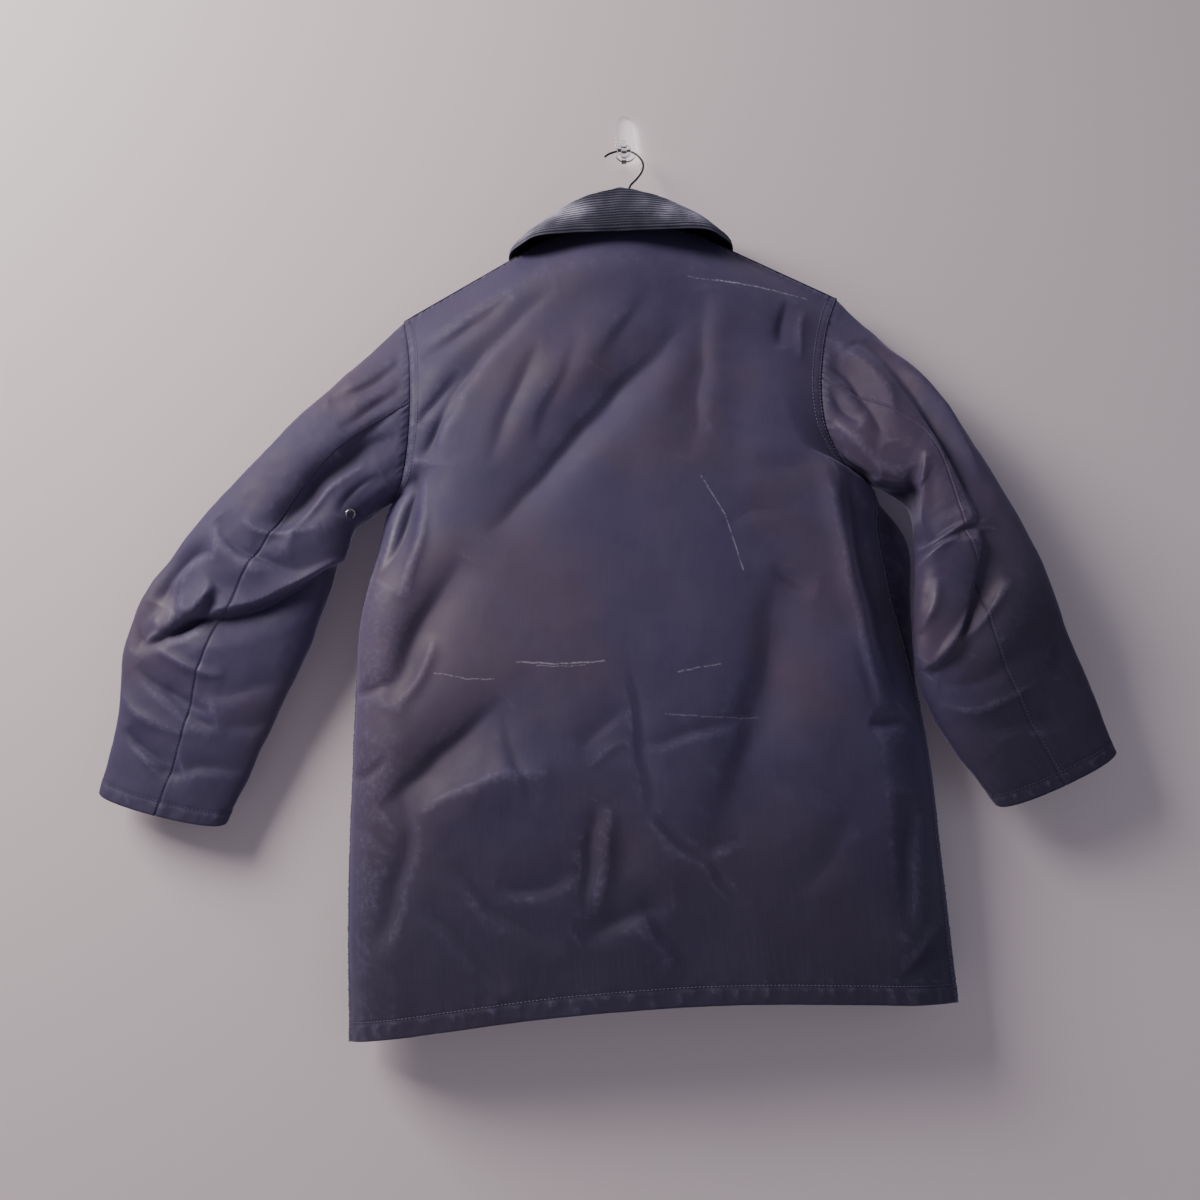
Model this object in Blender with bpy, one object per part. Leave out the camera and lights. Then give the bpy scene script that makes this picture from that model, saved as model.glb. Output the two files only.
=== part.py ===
"""Waxed cotton jacket, hung on a wire hanger and a clear wall hook.

The jacket hangs with its front to the wall and its back to the room.
X runs across it, +Y points into the wall and +Z is up. The origin is the
middle of the hook plate's back face, so the wall is the plane Y = 0.
"Left" is the low X side, which is also the wearer's left.
"""
import math
from collections import namedtuple

import bmesh
import bpy
import numpy as np
from mathutils import Vector

# ---- Driving sizes, in metres ------------------------------------------------
CLOTH = 0.0020            # shell and lining together
COLLAR_CLOTH = 0.0026     # two layers of corduroy
SEAM_GAP = 0.00036        # space between two panels at a seam
UNDERARM_EASE = 3.0       # the underarm corner keeps this many times the seam's space
SHARPEST_SEAM = 0.60      # limits how deep the wall gets where two panels fold together
CENTRE_X = -0.012         # centre back line
ARMHOLE = 0.27            # level of the underarm on the side edges
NECK_LEFT = 0.330         # where the neckline meets the shoulder seams
NECK_RIGHT = 0.684
NECK_POINT_Z = -0.153     # height of both ends of the shoulder seams at the neck
BACK_NECK_Z = -0.150
FRONT_NECK_Z = -0.226
BACK_NECK_BULGE = 0.033   # how far the back neckline stands out past the seams
FRONT_NECK_BULGE = 0.017
# Places across the front, as shares of the body's width from its middle.
MIDDLE = (NECK_LEFT + NECK_RIGHT) / 2
NECK_HALF = (NECK_RIGHT - NECK_LEFT) / 2
NECK_STEPS = (0.140, 0.105, 0.070)   # columns of each front along the neckline
COLLAR_END = 0.070        # the collar's ends
LAP_START = -0.070        # the left front starts to rise over the right one
LAP_RIGHT = -0.030        # the right front ends here, underneath
LAP_LEFT = 0.055          # the left front ends here, on top
LAP_LIFT = 0.0027         # the lapping edge stands this far out
NECK_DEPTH = 0.11         # share of the body down which the neckline's shape fades out
NECK_REACH = 0.088        # the shoulder seams' inner ends, from the centre line
HEM_RISE = 0.022          # the hem's middle hangs this much higher than its corners
LEFT_FLANK_TURN = 2.2     # how suddenly the back turns to the side
RIGHT_FLANK_TURN = 1.6
FOLD_FADE_TOP = 0.05      # shares of the body over which the folds fade out
FOLD_FADE_HEM = 0.04
FRONT_HEM_DROP = 0.010    # the front layer hangs this much lower at the centre
CUFF_START = 0.75         # the cuff's slant begins here along the sleeve
CUFF_LIFT = 0.010         # the back half of a cuff rides up, the front half hangs

WIRE = 0.0025             # hanger wire
WIRE_DROP = 0.0120        # its centre below the shoulder line
HANGER_X = -0.003
HANGER_Y = -0.0475
ARM_REACH = 0.198         # the arms end this far from the middle
ARM_BEND = 0.010          # the arms' ends turn out this far to the bottom bar
BAR_DROP = 0.026          # the bottom bar lies this far below the arms' ends
TWIST_GAP = 0.0006        # between the wire's two ends where they pass
TWIST_STEP = 0.002
TWIST_RISE = 0.010        # the loose end stands this far above the arms
NECK_RISE = 0.004
NECK_OFFSET = 0.003
# The wire's hook, from its tip over the peg to the neck.
WIRE_HOOK = (
    (-0.026, -0.0145, -0.0325), (-0.020, -0.0145, -0.0285), (-0.011, -0.0145, -0.0258),
    (-0.0025, -0.0148, -0.0252), (0.007, -0.0165, -0.0285), (0.0155, -0.0200, -0.0375),
    (0.0195, -0.0255, -0.0500), (0.0175, -0.0320, -0.0630), (0.0105, -0.0385, -0.0760),
    (0.003, -0.0430, -0.0860), (0.0, -0.0455, -0.0940),
)
WIRE_RADII = (0.003, 0.008, 0.008, 0.008, 0.008, 0.004)
PLATE_WIDTH = 0.0245
PLATE_TOP = 0.027
PLATE_BOTTOM = -0.033
PLATE_THICK = 0.004
PLATE_TOP_SHARE = 0.86    # the plate's top is this share of its width
PEG_TOP_Z = -0.0274
PEG_LEFT = -0.0055
PEG_RIGHT = 0.0005
LIP_RADIUS = 0.0085       # round lip that keeps the wire on the peg
LIP_X = -0.0025
LIP_Z = -0.0320
LIP_BACK = -0.0240
LIP_FRONT = -0.0265

ROWS_ARMHOLE = 8
ROWS_BODY = 14
COLUMNS_SHOULDER = 7
COLUMNS_NECK = 7
RING_SIDES = 16
RINGS = 18
SLEEVE_FOLD_FADE = 0.08   # share of a sleeve over which its folds fade in
ARMHOLE_FADE = 0.24       # share of a sleeve over which the armhole's shape fades out
BACK_ARM_SEAM = 4         # ring corner of the seam down the back of a sleeve
FRONT_ARM_SEAM = 10       # ring corner of the hidden seam at the front

# ---- Sections ----------------------------------------------------------------
# Side edges of the body, from the shoulder point past the underarm to the hem.
# back_y and front_y are the two sides of the armhole and meet at the side seam.
# roll_back and roll_front are how far the cloth rolls out past the seam.
Edge = namedtuple("Edge", "level x z back_y front_y roll_back roll_front")
LEFT_EDGE = (
    Edge(0.000, -0.265, -0.246, -0.045, -0.045, 0.000, 0.000),
    Edge(0.055, -0.257, -0.290, -0.066, -0.028, 0.000, 0.000),
    Edge(0.110, -0.254, -0.335, -0.077, -0.022, 0.000, 0.000),
    Edge(0.165, -0.255, -0.380, -0.080, -0.020, 0.000, 0.000),
    Edge(0.215, -0.260, -0.420, -0.075, -0.021, 0.000, 0.000),
    Edge(0.247, -0.267, -0.445, -0.067, -0.024, 0.000, 0.000),
    Edge(0.270, -0.279, -0.460, -0.044, -0.044, 0.002, 0.000),
    Edge(0.345, -0.299, -0.522, -0.038, -0.038, 0.010, 0.000),
    Edge(0.430, -0.318, -0.592, -0.033, -0.033, 0.012, 0.002),
    Edge(0.510, -0.323, -0.662, -0.032, -0.032, 0.012, 0.003),
    Edge(0.630, -0.328, -0.757, -0.030, -0.030, 0.012, 0.003),
    Edge(0.800, -0.333, -0.891, -0.030, -0.030, 0.011, 0.003),
    Edge(1.000, -0.333, -1.036, -0.028, -0.028, 0.008, 0.002),
)
RIGHT_EDGE = (
    Edge(0.000, 0.234, -0.239, -0.045, -0.045, 0.000, 0.000),
    Edge(0.055, 0.216, -0.283, -0.068, -0.028, 0.000, 0.000),
    Edge(0.110, 0.205, -0.327, -0.082, -0.022, 0.000, 0.000),
    Edge(0.165, 0.200, -0.372, -0.087, -0.020, 0.000, 0.000),
    Edge(0.215, 0.206, -0.415, -0.083, -0.021, 0.000, 0.000),
    Edge(0.247, 0.224, -0.446, -0.072, -0.023, 0.000, 0.000),
    Edge(0.270, 0.250, -0.458, -0.044, -0.044, 0.000, 0.002),
    Edge(0.345, 0.260, -0.520, -0.044, -0.044, 0.000, 0.056),
    Edge(0.430, 0.269, -0.592, -0.044, -0.044, 0.000, 0.050),
    Edge(0.510, 0.280, -0.650, -0.044, -0.044, 0.000, 0.036),
    Edge(0.630, 0.294, -0.745, -0.045, -0.045, 0.001, 0.016),
    Edge(0.800, 0.300, -0.880, -0.044, -0.044, 0.002, 0.016),
    Edge(1.000, 0.306, -1.019, -0.038, -0.038, 0.003, 0.010),
)
# How far the two layers stand from the wall, down the body. The back has a
# value beside each roll and one on the centre line.
Depth = namedtuple("Depth", "level back_left back_mid back_right front_side front_mid")
DEPTHS = (
    Depth(0.000, -0.045, -0.045, -0.045, -0.045, -0.045),
    Depth(0.055, -0.071, -0.088, -0.073, -0.027, -0.024),
    Depth(0.110, -0.083, -0.096, -0.086, -0.020, -0.018),
    Depth(0.165, -0.089, -0.101, -0.094, -0.018, -0.016),
    Depth(0.270, -0.092, -0.108, -0.102, -0.017, -0.015),
    Depth(0.430, -0.090, -0.113, -0.104, -0.016, -0.014),
    Depth(0.630, -0.086, -0.112, -0.096, -0.016, -0.014),
    Depth(0.800, -0.080, -0.106, -0.086, -0.015, -0.013),
    Depth(1.000, -0.070, -0.098, -0.076, -0.014, -0.013),
)
FLANK_LEFT = 0.11         # share of the width that turns from the back to the side
FLANK_RIGHT = 0.10

# Sleeve sections: the outer and inner edge, the middle's distance from the wall
# and the thickness of the flattened tube.
Ring = namedtuple("Ring", "along outer_x outer_z inner_x inner_z mid_y depth")
LEFT_SLEEVE = (
    Ring(0.00, -0.265, -0.246, -0.279, -0.460, -0.048, 0.058),
    Ring(0.14, -0.332, -0.312, -0.313, -0.482, -0.052, 0.078),
    Ring(0.28, -0.400, -0.378, -0.336, -0.517, -0.051, 0.078),
    Ring(0.42, -0.461, -0.440, -0.349, -0.556, -0.048, 0.072),
    Ring(0.56, -0.521, -0.505, -0.364, -0.596, -0.044, 0.062),
    Ring(0.68, -0.561, -0.562, -0.381, -0.634, -0.040, 0.054),
    Ring(0.78, -0.579, -0.618, -0.402, -0.676, -0.037, 0.046),
    Ring(0.88, -0.584, -0.690, -0.432, -0.738, -0.033, 0.038),
    Ring(1.00, -0.603, -0.766, -0.465, -0.806, -0.030, 0.032),
)
RIGHT_SLEEVE = (
    Ring(0.00, 0.234, -0.239, 0.250, -0.458, -0.050, 0.060),
    Ring(0.14, 0.283, -0.304, 0.282, -0.474, -0.060, 0.078),
    Ring(0.28, 0.325, -0.364, 0.294, -0.512, -0.070, 0.078),
    Ring(0.42, 0.362, -0.430, 0.291, -0.558, -0.078, 0.072),
    Ring(0.56, 0.396, -0.500, 0.282, -0.608, -0.082, 0.064),
    Ring(0.68, 0.424, -0.565, 0.281, -0.655, -0.079, 0.056),
    Ring(0.78, 0.445, -0.628, 0.288, -0.698, -0.070, 0.048),
    Ring(0.88, 0.468, -0.692, 0.313, -0.750, -0.060, 0.040),
    Ring(1.00, 0.493, -0.765, 0.361, -0.818, -0.048, 0.034),
)

# Collar sections on one half: turn 0 is the centre back, 0.5 the shoulder seam and
# 1 the front end. The stand starts on the neckline; these are the roll at its top
# and the edge of the fall. X is measured from the centre line.
Station = namedtuple("Station", "turn roll_x roll_y roll_z edge_x edge_y edge_z")
COLLAR = (
    Station(0.00, 0.002, -0.0780, -0.1120, 0.000, -0.1010, -0.1720),
    Station(0.18, 0.040, -0.0750, -0.1215, 0.058, -0.1000, -0.1715),
    Station(0.36, 0.074, -0.0620, -0.1350, 0.106, -0.0880, -0.1690),
    Station(0.50, 0.092, -0.0450, -0.1410, 0.127, -0.0520, -0.1660),
    Station(0.66, 0.084, -0.0260, -0.1370, 0.125, -0.0230, -0.1840),
    Station(0.84, 0.066, -0.0150, -0.1690, 0.110, -0.0090, -0.2280),
    Station(1.00, 0.050, -0.0110, -0.2030, 0.090, -0.0075, -0.2680),
)
STAND_LIFT = 0.0019       # the stand starts this far over the neckline
STAND_SHARE = 0.36        # share of the collar's steps that are the stand
ROLL_WIDTH = 0.0050       # space across the roll
FALL_CROWN = 0.0040       # how far the middle of the fall stands out

# Largest folds, each a soft trough (negative) or ridge along three points.
Fold = namedtuple("Fold", "x0 z0 x1 z1 x2 z2 width depth")
BACK_FOLDS = (
    Fold(0.060, -0.260, -0.040, -0.360, -0.150, -0.490, 0.030, -0.007),
    Fold(0.030, -0.240, -0.070, -0.330, -0.180, -0.430, 0.030, 0.004),
    Fold(-0.235, -0.420, -0.255, -0.480, -0.285, -0.550, 0.022, -0.009),
    Fold(-0.190, -0.540, -0.250, -0.630, -0.285, -0.690, 0.030, -0.006),
    Fold(-0.140, -0.690, -0.220, -0.750, -0.290, -0.800, 0.032, -0.007),
    Fold(-0.095, -0.770, -0.190, -0.790, -0.240, -0.815, 0.028, 0.005),
    Fold(-0.040, -0.810, -0.042, -0.860, -0.044, -0.910, 0.024, -0.006),
    Fold(0.145, -0.570, 0.125, -0.710, 0.090, -0.830, 0.045, -0.006),
    Fold(-0.010, -0.880, 0.040, -0.930, 0.070, -0.975, 0.036, -0.005),
    Fold(0.115, -0.270, 0.108, -0.360, 0.100, -0.440, 0.030, -0.005),
)
LEFT_SLEEVE_FOLDS = (
    Fold(-0.275, -0.400, -0.350, -0.445, -0.415, -0.515, 0.022, -0.009),
    Fold(-0.490, -0.560, -0.430, -0.560, -0.350, -0.520, 0.020, -0.010),
    Fold(-0.480, -0.500, -0.420, -0.530, -0.360, -0.505, 0.022, 0.006),
    Fold(-0.560, -0.590, -0.530, -0.560, -0.500, -0.550, 0.016, -0.007),
)
RIGHT_SLEEVE_FOLDS = (
    Fold(0.265, -0.300, 0.315, -0.390, 0.370, -0.505, 0.024, -0.008),
    Fold(0.375, -0.540, 0.355, -0.610, 0.330, -0.660, 0.024, -0.009),
    Fold(0.205, -0.405, 0.245, -0.428, 0.285, -0.450, 0.018, 0.009),
    Fold(0.235, -0.390, 0.290, -0.440, 0.320, -0.455, 0.020, 0.006),
    Fold(0.420, -0.580, 0.385, -0.625, 0.330, -0.680, 0.028, 0.006),
)

# Press studs of the front closure, and the vent eyelet under the left arm.
STUD_ROWS = (3, 7, 10, 13, 16)
STUD_COLUMN = 0
STUD_RADIUS = 0.0075
STUD_HEIGHT = 0.0020
EYELET_ROW = 3
EYELET_COLUMN = 2
EYELET_RADIUS = 0.0060
EYELET_RIM = 0.0022
EYELET_EDGE = 0.0005
EYELET_HEIGHT = 0.0009

# ---- Materials ---------------------------------------------------------------
FINISHES = {
    # name: (colour, roughness, metallic)
    "waxed_cotton": ((0.055, 0.048, 0.080), 0.55, 0.0),
    "corduroy": ((0.025, 0.026, 0.045), 0.85, 0.0),
    "stud_metal": ((0.35, 0.33, 0.30), 0.35, 1.0),
    "hanger_wire": ((0.012, 0.012, 0.014), 0.40, 0.6),
    "clear_plastic": ((0.80, 0.82, 0.84), 0.10, 0.0),
}


def finish(name):
    """Return the named Principled BSDF material, made on first use."""
    material = bpy.data.materials.get(name)
    if material:
        return material
    colour, roughness, metallic = FINISHES[name]
    material = bpy.data.materials.new(name)
    material.use_nodes = True
    shader = material.node_tree.nodes["Principled BSDF"]
    shader.inputs["Base Color"].default_value = (*colour, 1.0)
    shader.inputs["Roughness"].default_value = roughness
    shader.inputs["Metallic"].default_value = metallic
    return material


def add_object(name, mesh, material):
    """Put a mesh in the scene as a node with its material."""
    item = bpy.data.objects.new(name, mesh)
    bpy.context.scene.collection.objects.link(item)
    mesh.materials.append(finish(material))
    return item


# ---- Curves and sections -----------------------------------------------------
def spline(knots, values, at):
    """Smooth curve through the values at the knots, read at one or many places."""
    knots = np.asarray(knots, float)
    values = np.asarray(values, float)
    at = np.clip(np.asarray(at, float), knots[0], knots[-1])
    slopes = np.gradient(values, knots)
    i = np.clip(np.searchsorted(knots, at, side="right") - 1, 0, len(knots) - 2)
    span = knots[i + 1] - knots[i]
    f = (at - knots[i]) / span
    start = values[i] * (1 + 2 * f) * (1 - f) ** 2 + slopes[i] * span * f * (1 - f) ** 2
    end = values[i + 1] * f * f * (3 - 2 * f) - slopes[i + 1] * span * f * f * (1 - f)
    return start + end


def read(table, name, at):
    """Read one named column of a table at the given place along its first column."""
    knots = [row[0] for row in table]
    return spline(knots, [getattr(row, name) for row in table], at)


def smooth(f):
    """Ease from 0 to 1 as f goes from 0 to 1."""
    f = np.clip(f, 0.0, 1.0)
    return f * f * (3 - 2 * f)


def neck_share(u):
    """0 at both ends of the neckline, 1 at its middle, 0 on the shoulders."""
    f = np.clip((u - NECK_LEFT) / (NECK_RIGHT - NECK_LEFT), 0.0, 1.0)
    return np.sin(math.pi * f)


def shoulder_rise(u, layer):
    """Height of the top edge over the straight line between the shoulder points."""
    line = LEFT_EDGE[0].z + (RIGHT_EDGE[0].z - LEFT_EDGE[0].z) * u
    slope = np.minimum(u / NECK_LEFT, (1 - u) / (1 - NECK_RIGHT))
    on_shoulder = np.clip(slope, 0.0, 1.0)
    neck_line = LEFT_EDGE[0].z + (RIGHT_EDGE[0].z - LEFT_EDGE[0].z) * np.where(u < 0.5, NECK_LEFT, NECK_RIGHT)
    rise = on_shoulder * (NECK_POINT_Z - neck_line)
    middle_z = BACK_NECK_Z if layer == "back" else FRONT_NECK_Z
    return rise + (middle_z - line - rise) * neck_share(u)


def fold_height(folds, x, z):
    """Sum of the soft troughs and ridges at the places (x, z)."""
    total = np.zeros_like(x)
    for fold in folds:
        nearest = np.full_like(x, 1e9)
        place = np.zeros_like(x)
        legs = ((fold.x0, fold.z0, fold.x1, fold.z1), (fold.x1, fold.z1, fold.x2, fold.z2))
        for k, (xa, za, xb, zb) in enumerate(legs):
            along_x, along_z = xb - xa, zb - za
            f = ((x - xa) * along_x + (z - za) * along_z) / (along_x ** 2 + along_z ** 2)
            f = np.clip(f, 0.0, 1.0)
            away = np.hypot(x - xa - f * along_x, z - za - f * along_z)
            place = np.where(away < nearest, (k + f) / 2, place)
            nearest = np.minimum(nearest, away)
        taper = 0.35 + 0.65 * np.sin(math.pi * place)
        total = total + fold.depth * taper * np.exp(-(nearest / fold.width) ** 2)
    return total


def edge_y(edge, layer, v):
    """Depth of one layer's side edge; below the armhole both layers share the seam."""
    own = read(edge, layer + "_y", v)
    seam = (read(edge, "back_y", v) + read(edge, "front_y", v)) / 2
    return np.where(v < ARMHOLE, own, seam)


def body_point(u, v, layer):
    """Body shell at u across (left to right) and v down (shoulder to hem)."""
    left_x = read(LEFT_EDGE, "x", v)
    right_x = read(RIGHT_EDGE, "x", v)
    left_z = read(LEFT_EDGE, "z", v)
    right_z = read(RIGHT_EDGE, "z", v)
    left_y = edge_y(LEFT_EDGE, layer, v)
    right_y = edge_y(RIGHT_EDGE, layer, v)
    from_left = np.clip(u / FLANK_LEFT, 0.0, 1.0)
    from_right = np.clip((1 - u) / FLANK_RIGHT, 0.0, 1.0)
    x = left_x + (right_x - left_x) * u
    x = x - read(LEFT_EDGE, "roll_" + layer, v) * np.sin(math.pi * from_left)
    x = x + read(RIGHT_EDGE, "roll_" + layer, v) * np.sin(math.pi * from_right)
    z = left_z + (right_z - left_z) * u + shoulder_rise(u, layer) * (1 - v) ** 2
    fade = np.clip(1 - v / NECK_DEPTH, 0.0, 1.0) ** 2
    if layer == "back":
        side_left = read(DEPTHS, "back_left", v)
        side_right = read(DEPTHS, "back_right", v)
        middle = read(DEPTHS, "back_mid", v)
        z = z + HEM_RISE * np.sin(math.pi * u) * smooth((v - 0.5) / 0.5)
        neck = -BACK_NECK_BULGE * neck_share(u) * fade
    else:
        side_left = side_right = read(DEPTHS, "front_side", v)
        middle = read(DEPTHS, "front_mid", v)
        z = z + (HEM_RISE - FRONT_HEM_DROP) * np.sin(math.pi * u) * smooth((v - 0.5) / 0.5)
        neck = FRONT_NECK_BULGE * neck_share(u) * fade
    side = side_left + (side_right - side_left) * u
    y = side + (middle - side) * np.sin(math.pi * u) + neck
    y = y + (left_y - side_left) * (1 - from_left) ** LEFT_FLANK_TURN
    y = y + (right_y - side_right) * (1 - from_right) ** RIGHT_FLANK_TURN
    if layer == "back":
        inner = smooth(np.minimum(from_left, from_right))
        inner = inner * smooth(v / FOLD_FADE_TOP) * smooth((1 - v) / FOLD_FADE_HEM)
        y = y - fold_height(BACK_FOLDS, x, z) * inner
    return np.stack([x, y, z], axis=-1)


def armhole_point(side, around):
    """Armhole loop: 0 at the shoulder, down the back to 0.5, up the front to 1."""
    edge = LEFT_EDGE if side == "left" else RIGHT_EDGE
    level = ARMHOLE * (1 - np.abs(1 - 2 * around))
    y = np.where(around <= 0.5, read(edge, "back_y", level), read(edge, "front_y", level))
    return np.stack([read(edge, "x", level), y, read(edge, "z", level)], axis=-1)


def tube_point(table, around, along):
    """Flattened tube of a sleeve, before it is fitted to the armhole."""
    angle = 2 * math.pi * around
    across = np.sign(np.cos(angle)) * np.abs(np.cos(angle)) ** 0.9
    out = np.sign(np.sin(angle)) * np.abs(np.sin(angle)) ** 0.8
    outer_x, outer_z = read(table, "outer_x", along), read(table, "outer_z", along)
    inner_x, inner_z = read(table, "inner_x", along), read(table, "inner_z", along)
    half_x, half_z = (outer_x - inner_x) / 2, (outer_z - inner_z) / 2
    length = np.hypot(half_x, half_z)
    turn = 1.0 if table[0].outer_x < table[-1].outer_x else -1.0
    lift = CUFF_LIFT * smooth((along - CUFF_START) / (1 - CUFF_START)) * out * turn
    x = (outer_x + inner_x) / 2 + half_x * across + lift * half_z / length
    z = (outer_z + inner_z) / 2 + half_z * across - lift * half_x / length
    y = read(table, "mid_y", along) - read(table, "depth", along) / 2 * out
    return np.stack([x, y, z], axis=-1)


def sleeve_point(side, around, along):
    """Sleeve shell: around the tube and along it from the armhole to the cuff."""
    table = LEFT_SLEEVE if side == "left" else RIGHT_SLEEVE
    folds = LEFT_SLEEVE_FOLDS if side == "left" else RIGHT_SLEEVE_FOLDS
    around = np.mod(around, 1.0)
    point = tube_point(table, around, along)
    fit = armhole_point(side, around) - tube_point(table, around, np.zeros_like(along))
    point = point + fit * (1 - smooth(along / ARMHOLE_FADE))[..., None]
    outward = np.clip(np.sin(2 * math.pi * around), 0.0, 1.0)
    height = fold_height(folds, point[..., 0], point[..., 2]) * outward * smooth(along / SLEEVE_FOLD_FADE)
    point[..., 1] = point[..., 1] - height
    return point


def neckline(turn):
    """Neckline of the body at a collar turn, from the left front round to the right."""
    side, far = np.sign(turn), np.abs(turn)
    on_back = np.clip(far * 2, 0, 1) * NECK_HALF
    on_front = NECK_HALF + (COLLAR_END - NECK_HALF) * np.clip(far * 2 - 1, 0, 1)
    level = np.zeros_like(far)
    back = body_point(MIDDLE + side * on_back, level, "back")
    front = body_point(MIDDLE + side * on_front, level, "front")
    point = np.where((far <= 0.5)[..., None], back, front)
    point[..., 2] += STAND_LIFT
    return point


def collar_turns():
    """Turns of the collar's sections, level with the columns of the neckline."""
    on_back = np.linspace(-0.5, 0.5, COLUMNS_NECK * 2 + 1)
    on_front = [0.5 + (NECK_HALF - step) / (NECK_HALF - COLLAR_END) / 2 for step in NECK_STEPS]
    return np.concatenate([[-turn for turn in reversed(on_front)], on_back, on_front])


def collar_point(turn, step):
    """Collar sheet: turn from the left front end (-1) round to the right one (1),
    step from the neck seam over the roll to the edge of the fall."""
    side, far = np.sign(turn), np.abs(turn)
    seam = neckline(turn)
    columns = {name: read(COLLAR, name, far) for name in Station._fields[1:]}
    roll = np.stack([CENTRE_X + side * columns["roll_x"], columns["roll_y"], columns["roll_z"]], axis=-1)
    edge = np.stack([CENTRE_X + side * columns["edge_x"], columns["edge_y"], columns["edge_z"]], axis=-1)
    outward = edge - roll
    outward[..., 2] = 0.0
    outward = outward / np.maximum(np.linalg.norm(outward, axis=-1, keepdims=True), 1e-6)
    up = np.array([0.0, 0.0, 0.001])
    rows = (
        seam,
        seam * 0.45 + roll * 0.55,
        roll - up,
        roll + outward * ROLL_WIDTH - up,
        (roll + edge) / 2 + outward * FALL_CROWN + 2 * up,
        edge,
    )
    return mixed_spline((0.0, 0.20, STAND_SHARE, 0.44, 0.70, 1.0), rows, step[..., None])


def mixed_spline(knots, rows, at):
    """As spline, for points that differ from place to place."""
    rows = np.stack(rows)
    knots = np.asarray(knots, float)
    slopes = np.gradient(rows, knots, axis=0)
    at = np.broadcast_to(at, rows.shape[1:])
    i = np.clip(np.searchsorted(knots, at, side="right") - 1, 0, len(knots) - 2)
    span = knots[i + 1] - knots[i]
    f = (at - knots[i]) / span
    low, high = (np.take_along_axis(rows, (i + k)[None], 0)[0] for k in (0, 1))
    slope_low, slope_high = (np.take_along_axis(slopes, (i + k)[None], 0)[0] for k in (0, 1))
    start = low * (1 + 2 * f) * (1 - f) ** 2 + slope_low * span * f * (1 - f) ** 2
    end = high * f * f * (3 - 2 * f) - slope_high * span * f * f * (1 - f)
    return start + end


# ---- Panels: a wall of cloth on a grid of points ------------------------------
def runs(*stops):
    """Places along a panel: evenly spaced runs between (place, segments) stops."""
    places = [stops[0][0]]
    for (start, _), (end, count) in zip(stops, stops[1:]):
        places += [start + (end - start) * (k + 1) / count for k in range(count)]
    return np.array(places)


def grid_normals(points):
    """Unit normals of a grid of points, by differences along rows and columns."""
    across = np.gradient(points, axis=1)
    down = np.gradient(points, axis=0)
    normal = np.cross(down, across)
    return normal / np.maximum(np.linalg.norm(normal, axis=-1, keepdims=True), 1e-12)


def body_panel(layer, columns):
    levels = runs((0.0, 0), (ARMHOLE, ROWS_ARMHOLE), (1.0, ROWS_BODY))
    v, u = np.meshgrid(levels, columns, indexing="ij")
    return body_point(u, v, layer)


def sleeve_panel(side, first, last):
    rings = runs((0.0, 0), (1.0, RINGS))
    corners = np.arange(first, last + 1) / RING_SIDES
    along, around = np.meshgrid(rings, corners, indexing="ij")
    return sleeve_point(side, around, along)


def lapped(points, columns):
    """Lift the left front over the right one where it laps."""
    lift = LAP_LIFT * smooth((columns - MIDDLE - LAP_START) / (LAP_RIGHT - LAP_START))
    points = points.copy()
    points[..., 1] += lift[None, :]
    return points


def shell_panels():
    """Every panel of the body and sleeves, as grids whose normals point outwards."""
    shoulder = (NECK_LEFT, COLUMNS_SHOULDER)
    back_columns = runs((0.0, 0), shoulder, (NECK_RIGHT, COLUMNS_NECK), (1.0, COLUMNS_SHOULDER))
    neck_steps = [MIDDLE - step for step in NECK_STEPS]
    lap = runs((MIDDLE + LAP_RIGHT, 0), (MIDDLE + LAP_LEFT, 2))
    left_columns = np.concatenate([runs((0.0, 0), shoulder), neck_steps, lap])
    under = runs((MIDDLE + LAP_RIGHT, 0), (MIDDLE + NECK_STEPS[-1], 2))
    neck_steps = [MIDDLE + step for step in NECK_STEPS[-2::-1]]
    right_shoulder = runs((NECK_RIGHT, 0), (1.0, COLUMNS_SHOULDER))
    right_columns = np.concatenate([under, neck_steps, right_shoulder])
    panels = {
        "back": body_panel("back", back_columns),
        "front_left": lapped(body_panel("front", left_columns), left_columns),
        "front_right": body_panel("front", right_columns),
    }
    for side in ("left", "right"):
        panels[f"sleeve_{side}_under"] = sleeve_panel(side, BACK_ARM_SEAM, FRONT_ARM_SEAM)
        panels[f"sleeve_{side}_top"] = sleeve_panel(side, FRONT_ARM_SEAM, BACK_ARM_SEAM + RING_SIDES)
    turned = ("front_left", "front_right", "sleeve_right_under", "sleeve_right_top")
    for name in turned:
        panels[name] = panels[name][:, ::-1]
    return panels


def corner_keys(points):
    """A key for each grid point, the same on every panel that has that point."""
    return [tuple(key) for key in np.round(points.reshape(-1, 3), 5)]


def shared_walls(panels):
    """Normals and wall depths, averaged where panels meet so that their walls line up."""
    own = {name: grid_normals(points) for name, points in panels.items()}
    total = {}
    for name, points in panels.items():
        for key, normal in zip(corner_keys(points), own[name].reshape(-1, 3)):
            total.setdefault(key, []).append(normal)
    shared, depths = {}, {}
    for name, points in panels.items():
        normals, depth = [], []
        for key in corner_keys(points):
            met = np.array(total[key])
            normal = met.sum(axis=0)
            normal /= np.linalg.norm(normal)
            normals.append(normal)
            depth.append(CLOTH / max((met @ normal).mean(), SHARPEST_SEAM))
        shared[name] = np.array(normals).reshape(points.shape)
        depths[name] = np.array(depth).reshape(points.shape[:2])
    return shared, depths


def unit(vectors):
    """Vectors scaled to length 1."""
    return vectors / np.linalg.norm(vectors, axis=-1, keepdims=True)


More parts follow.
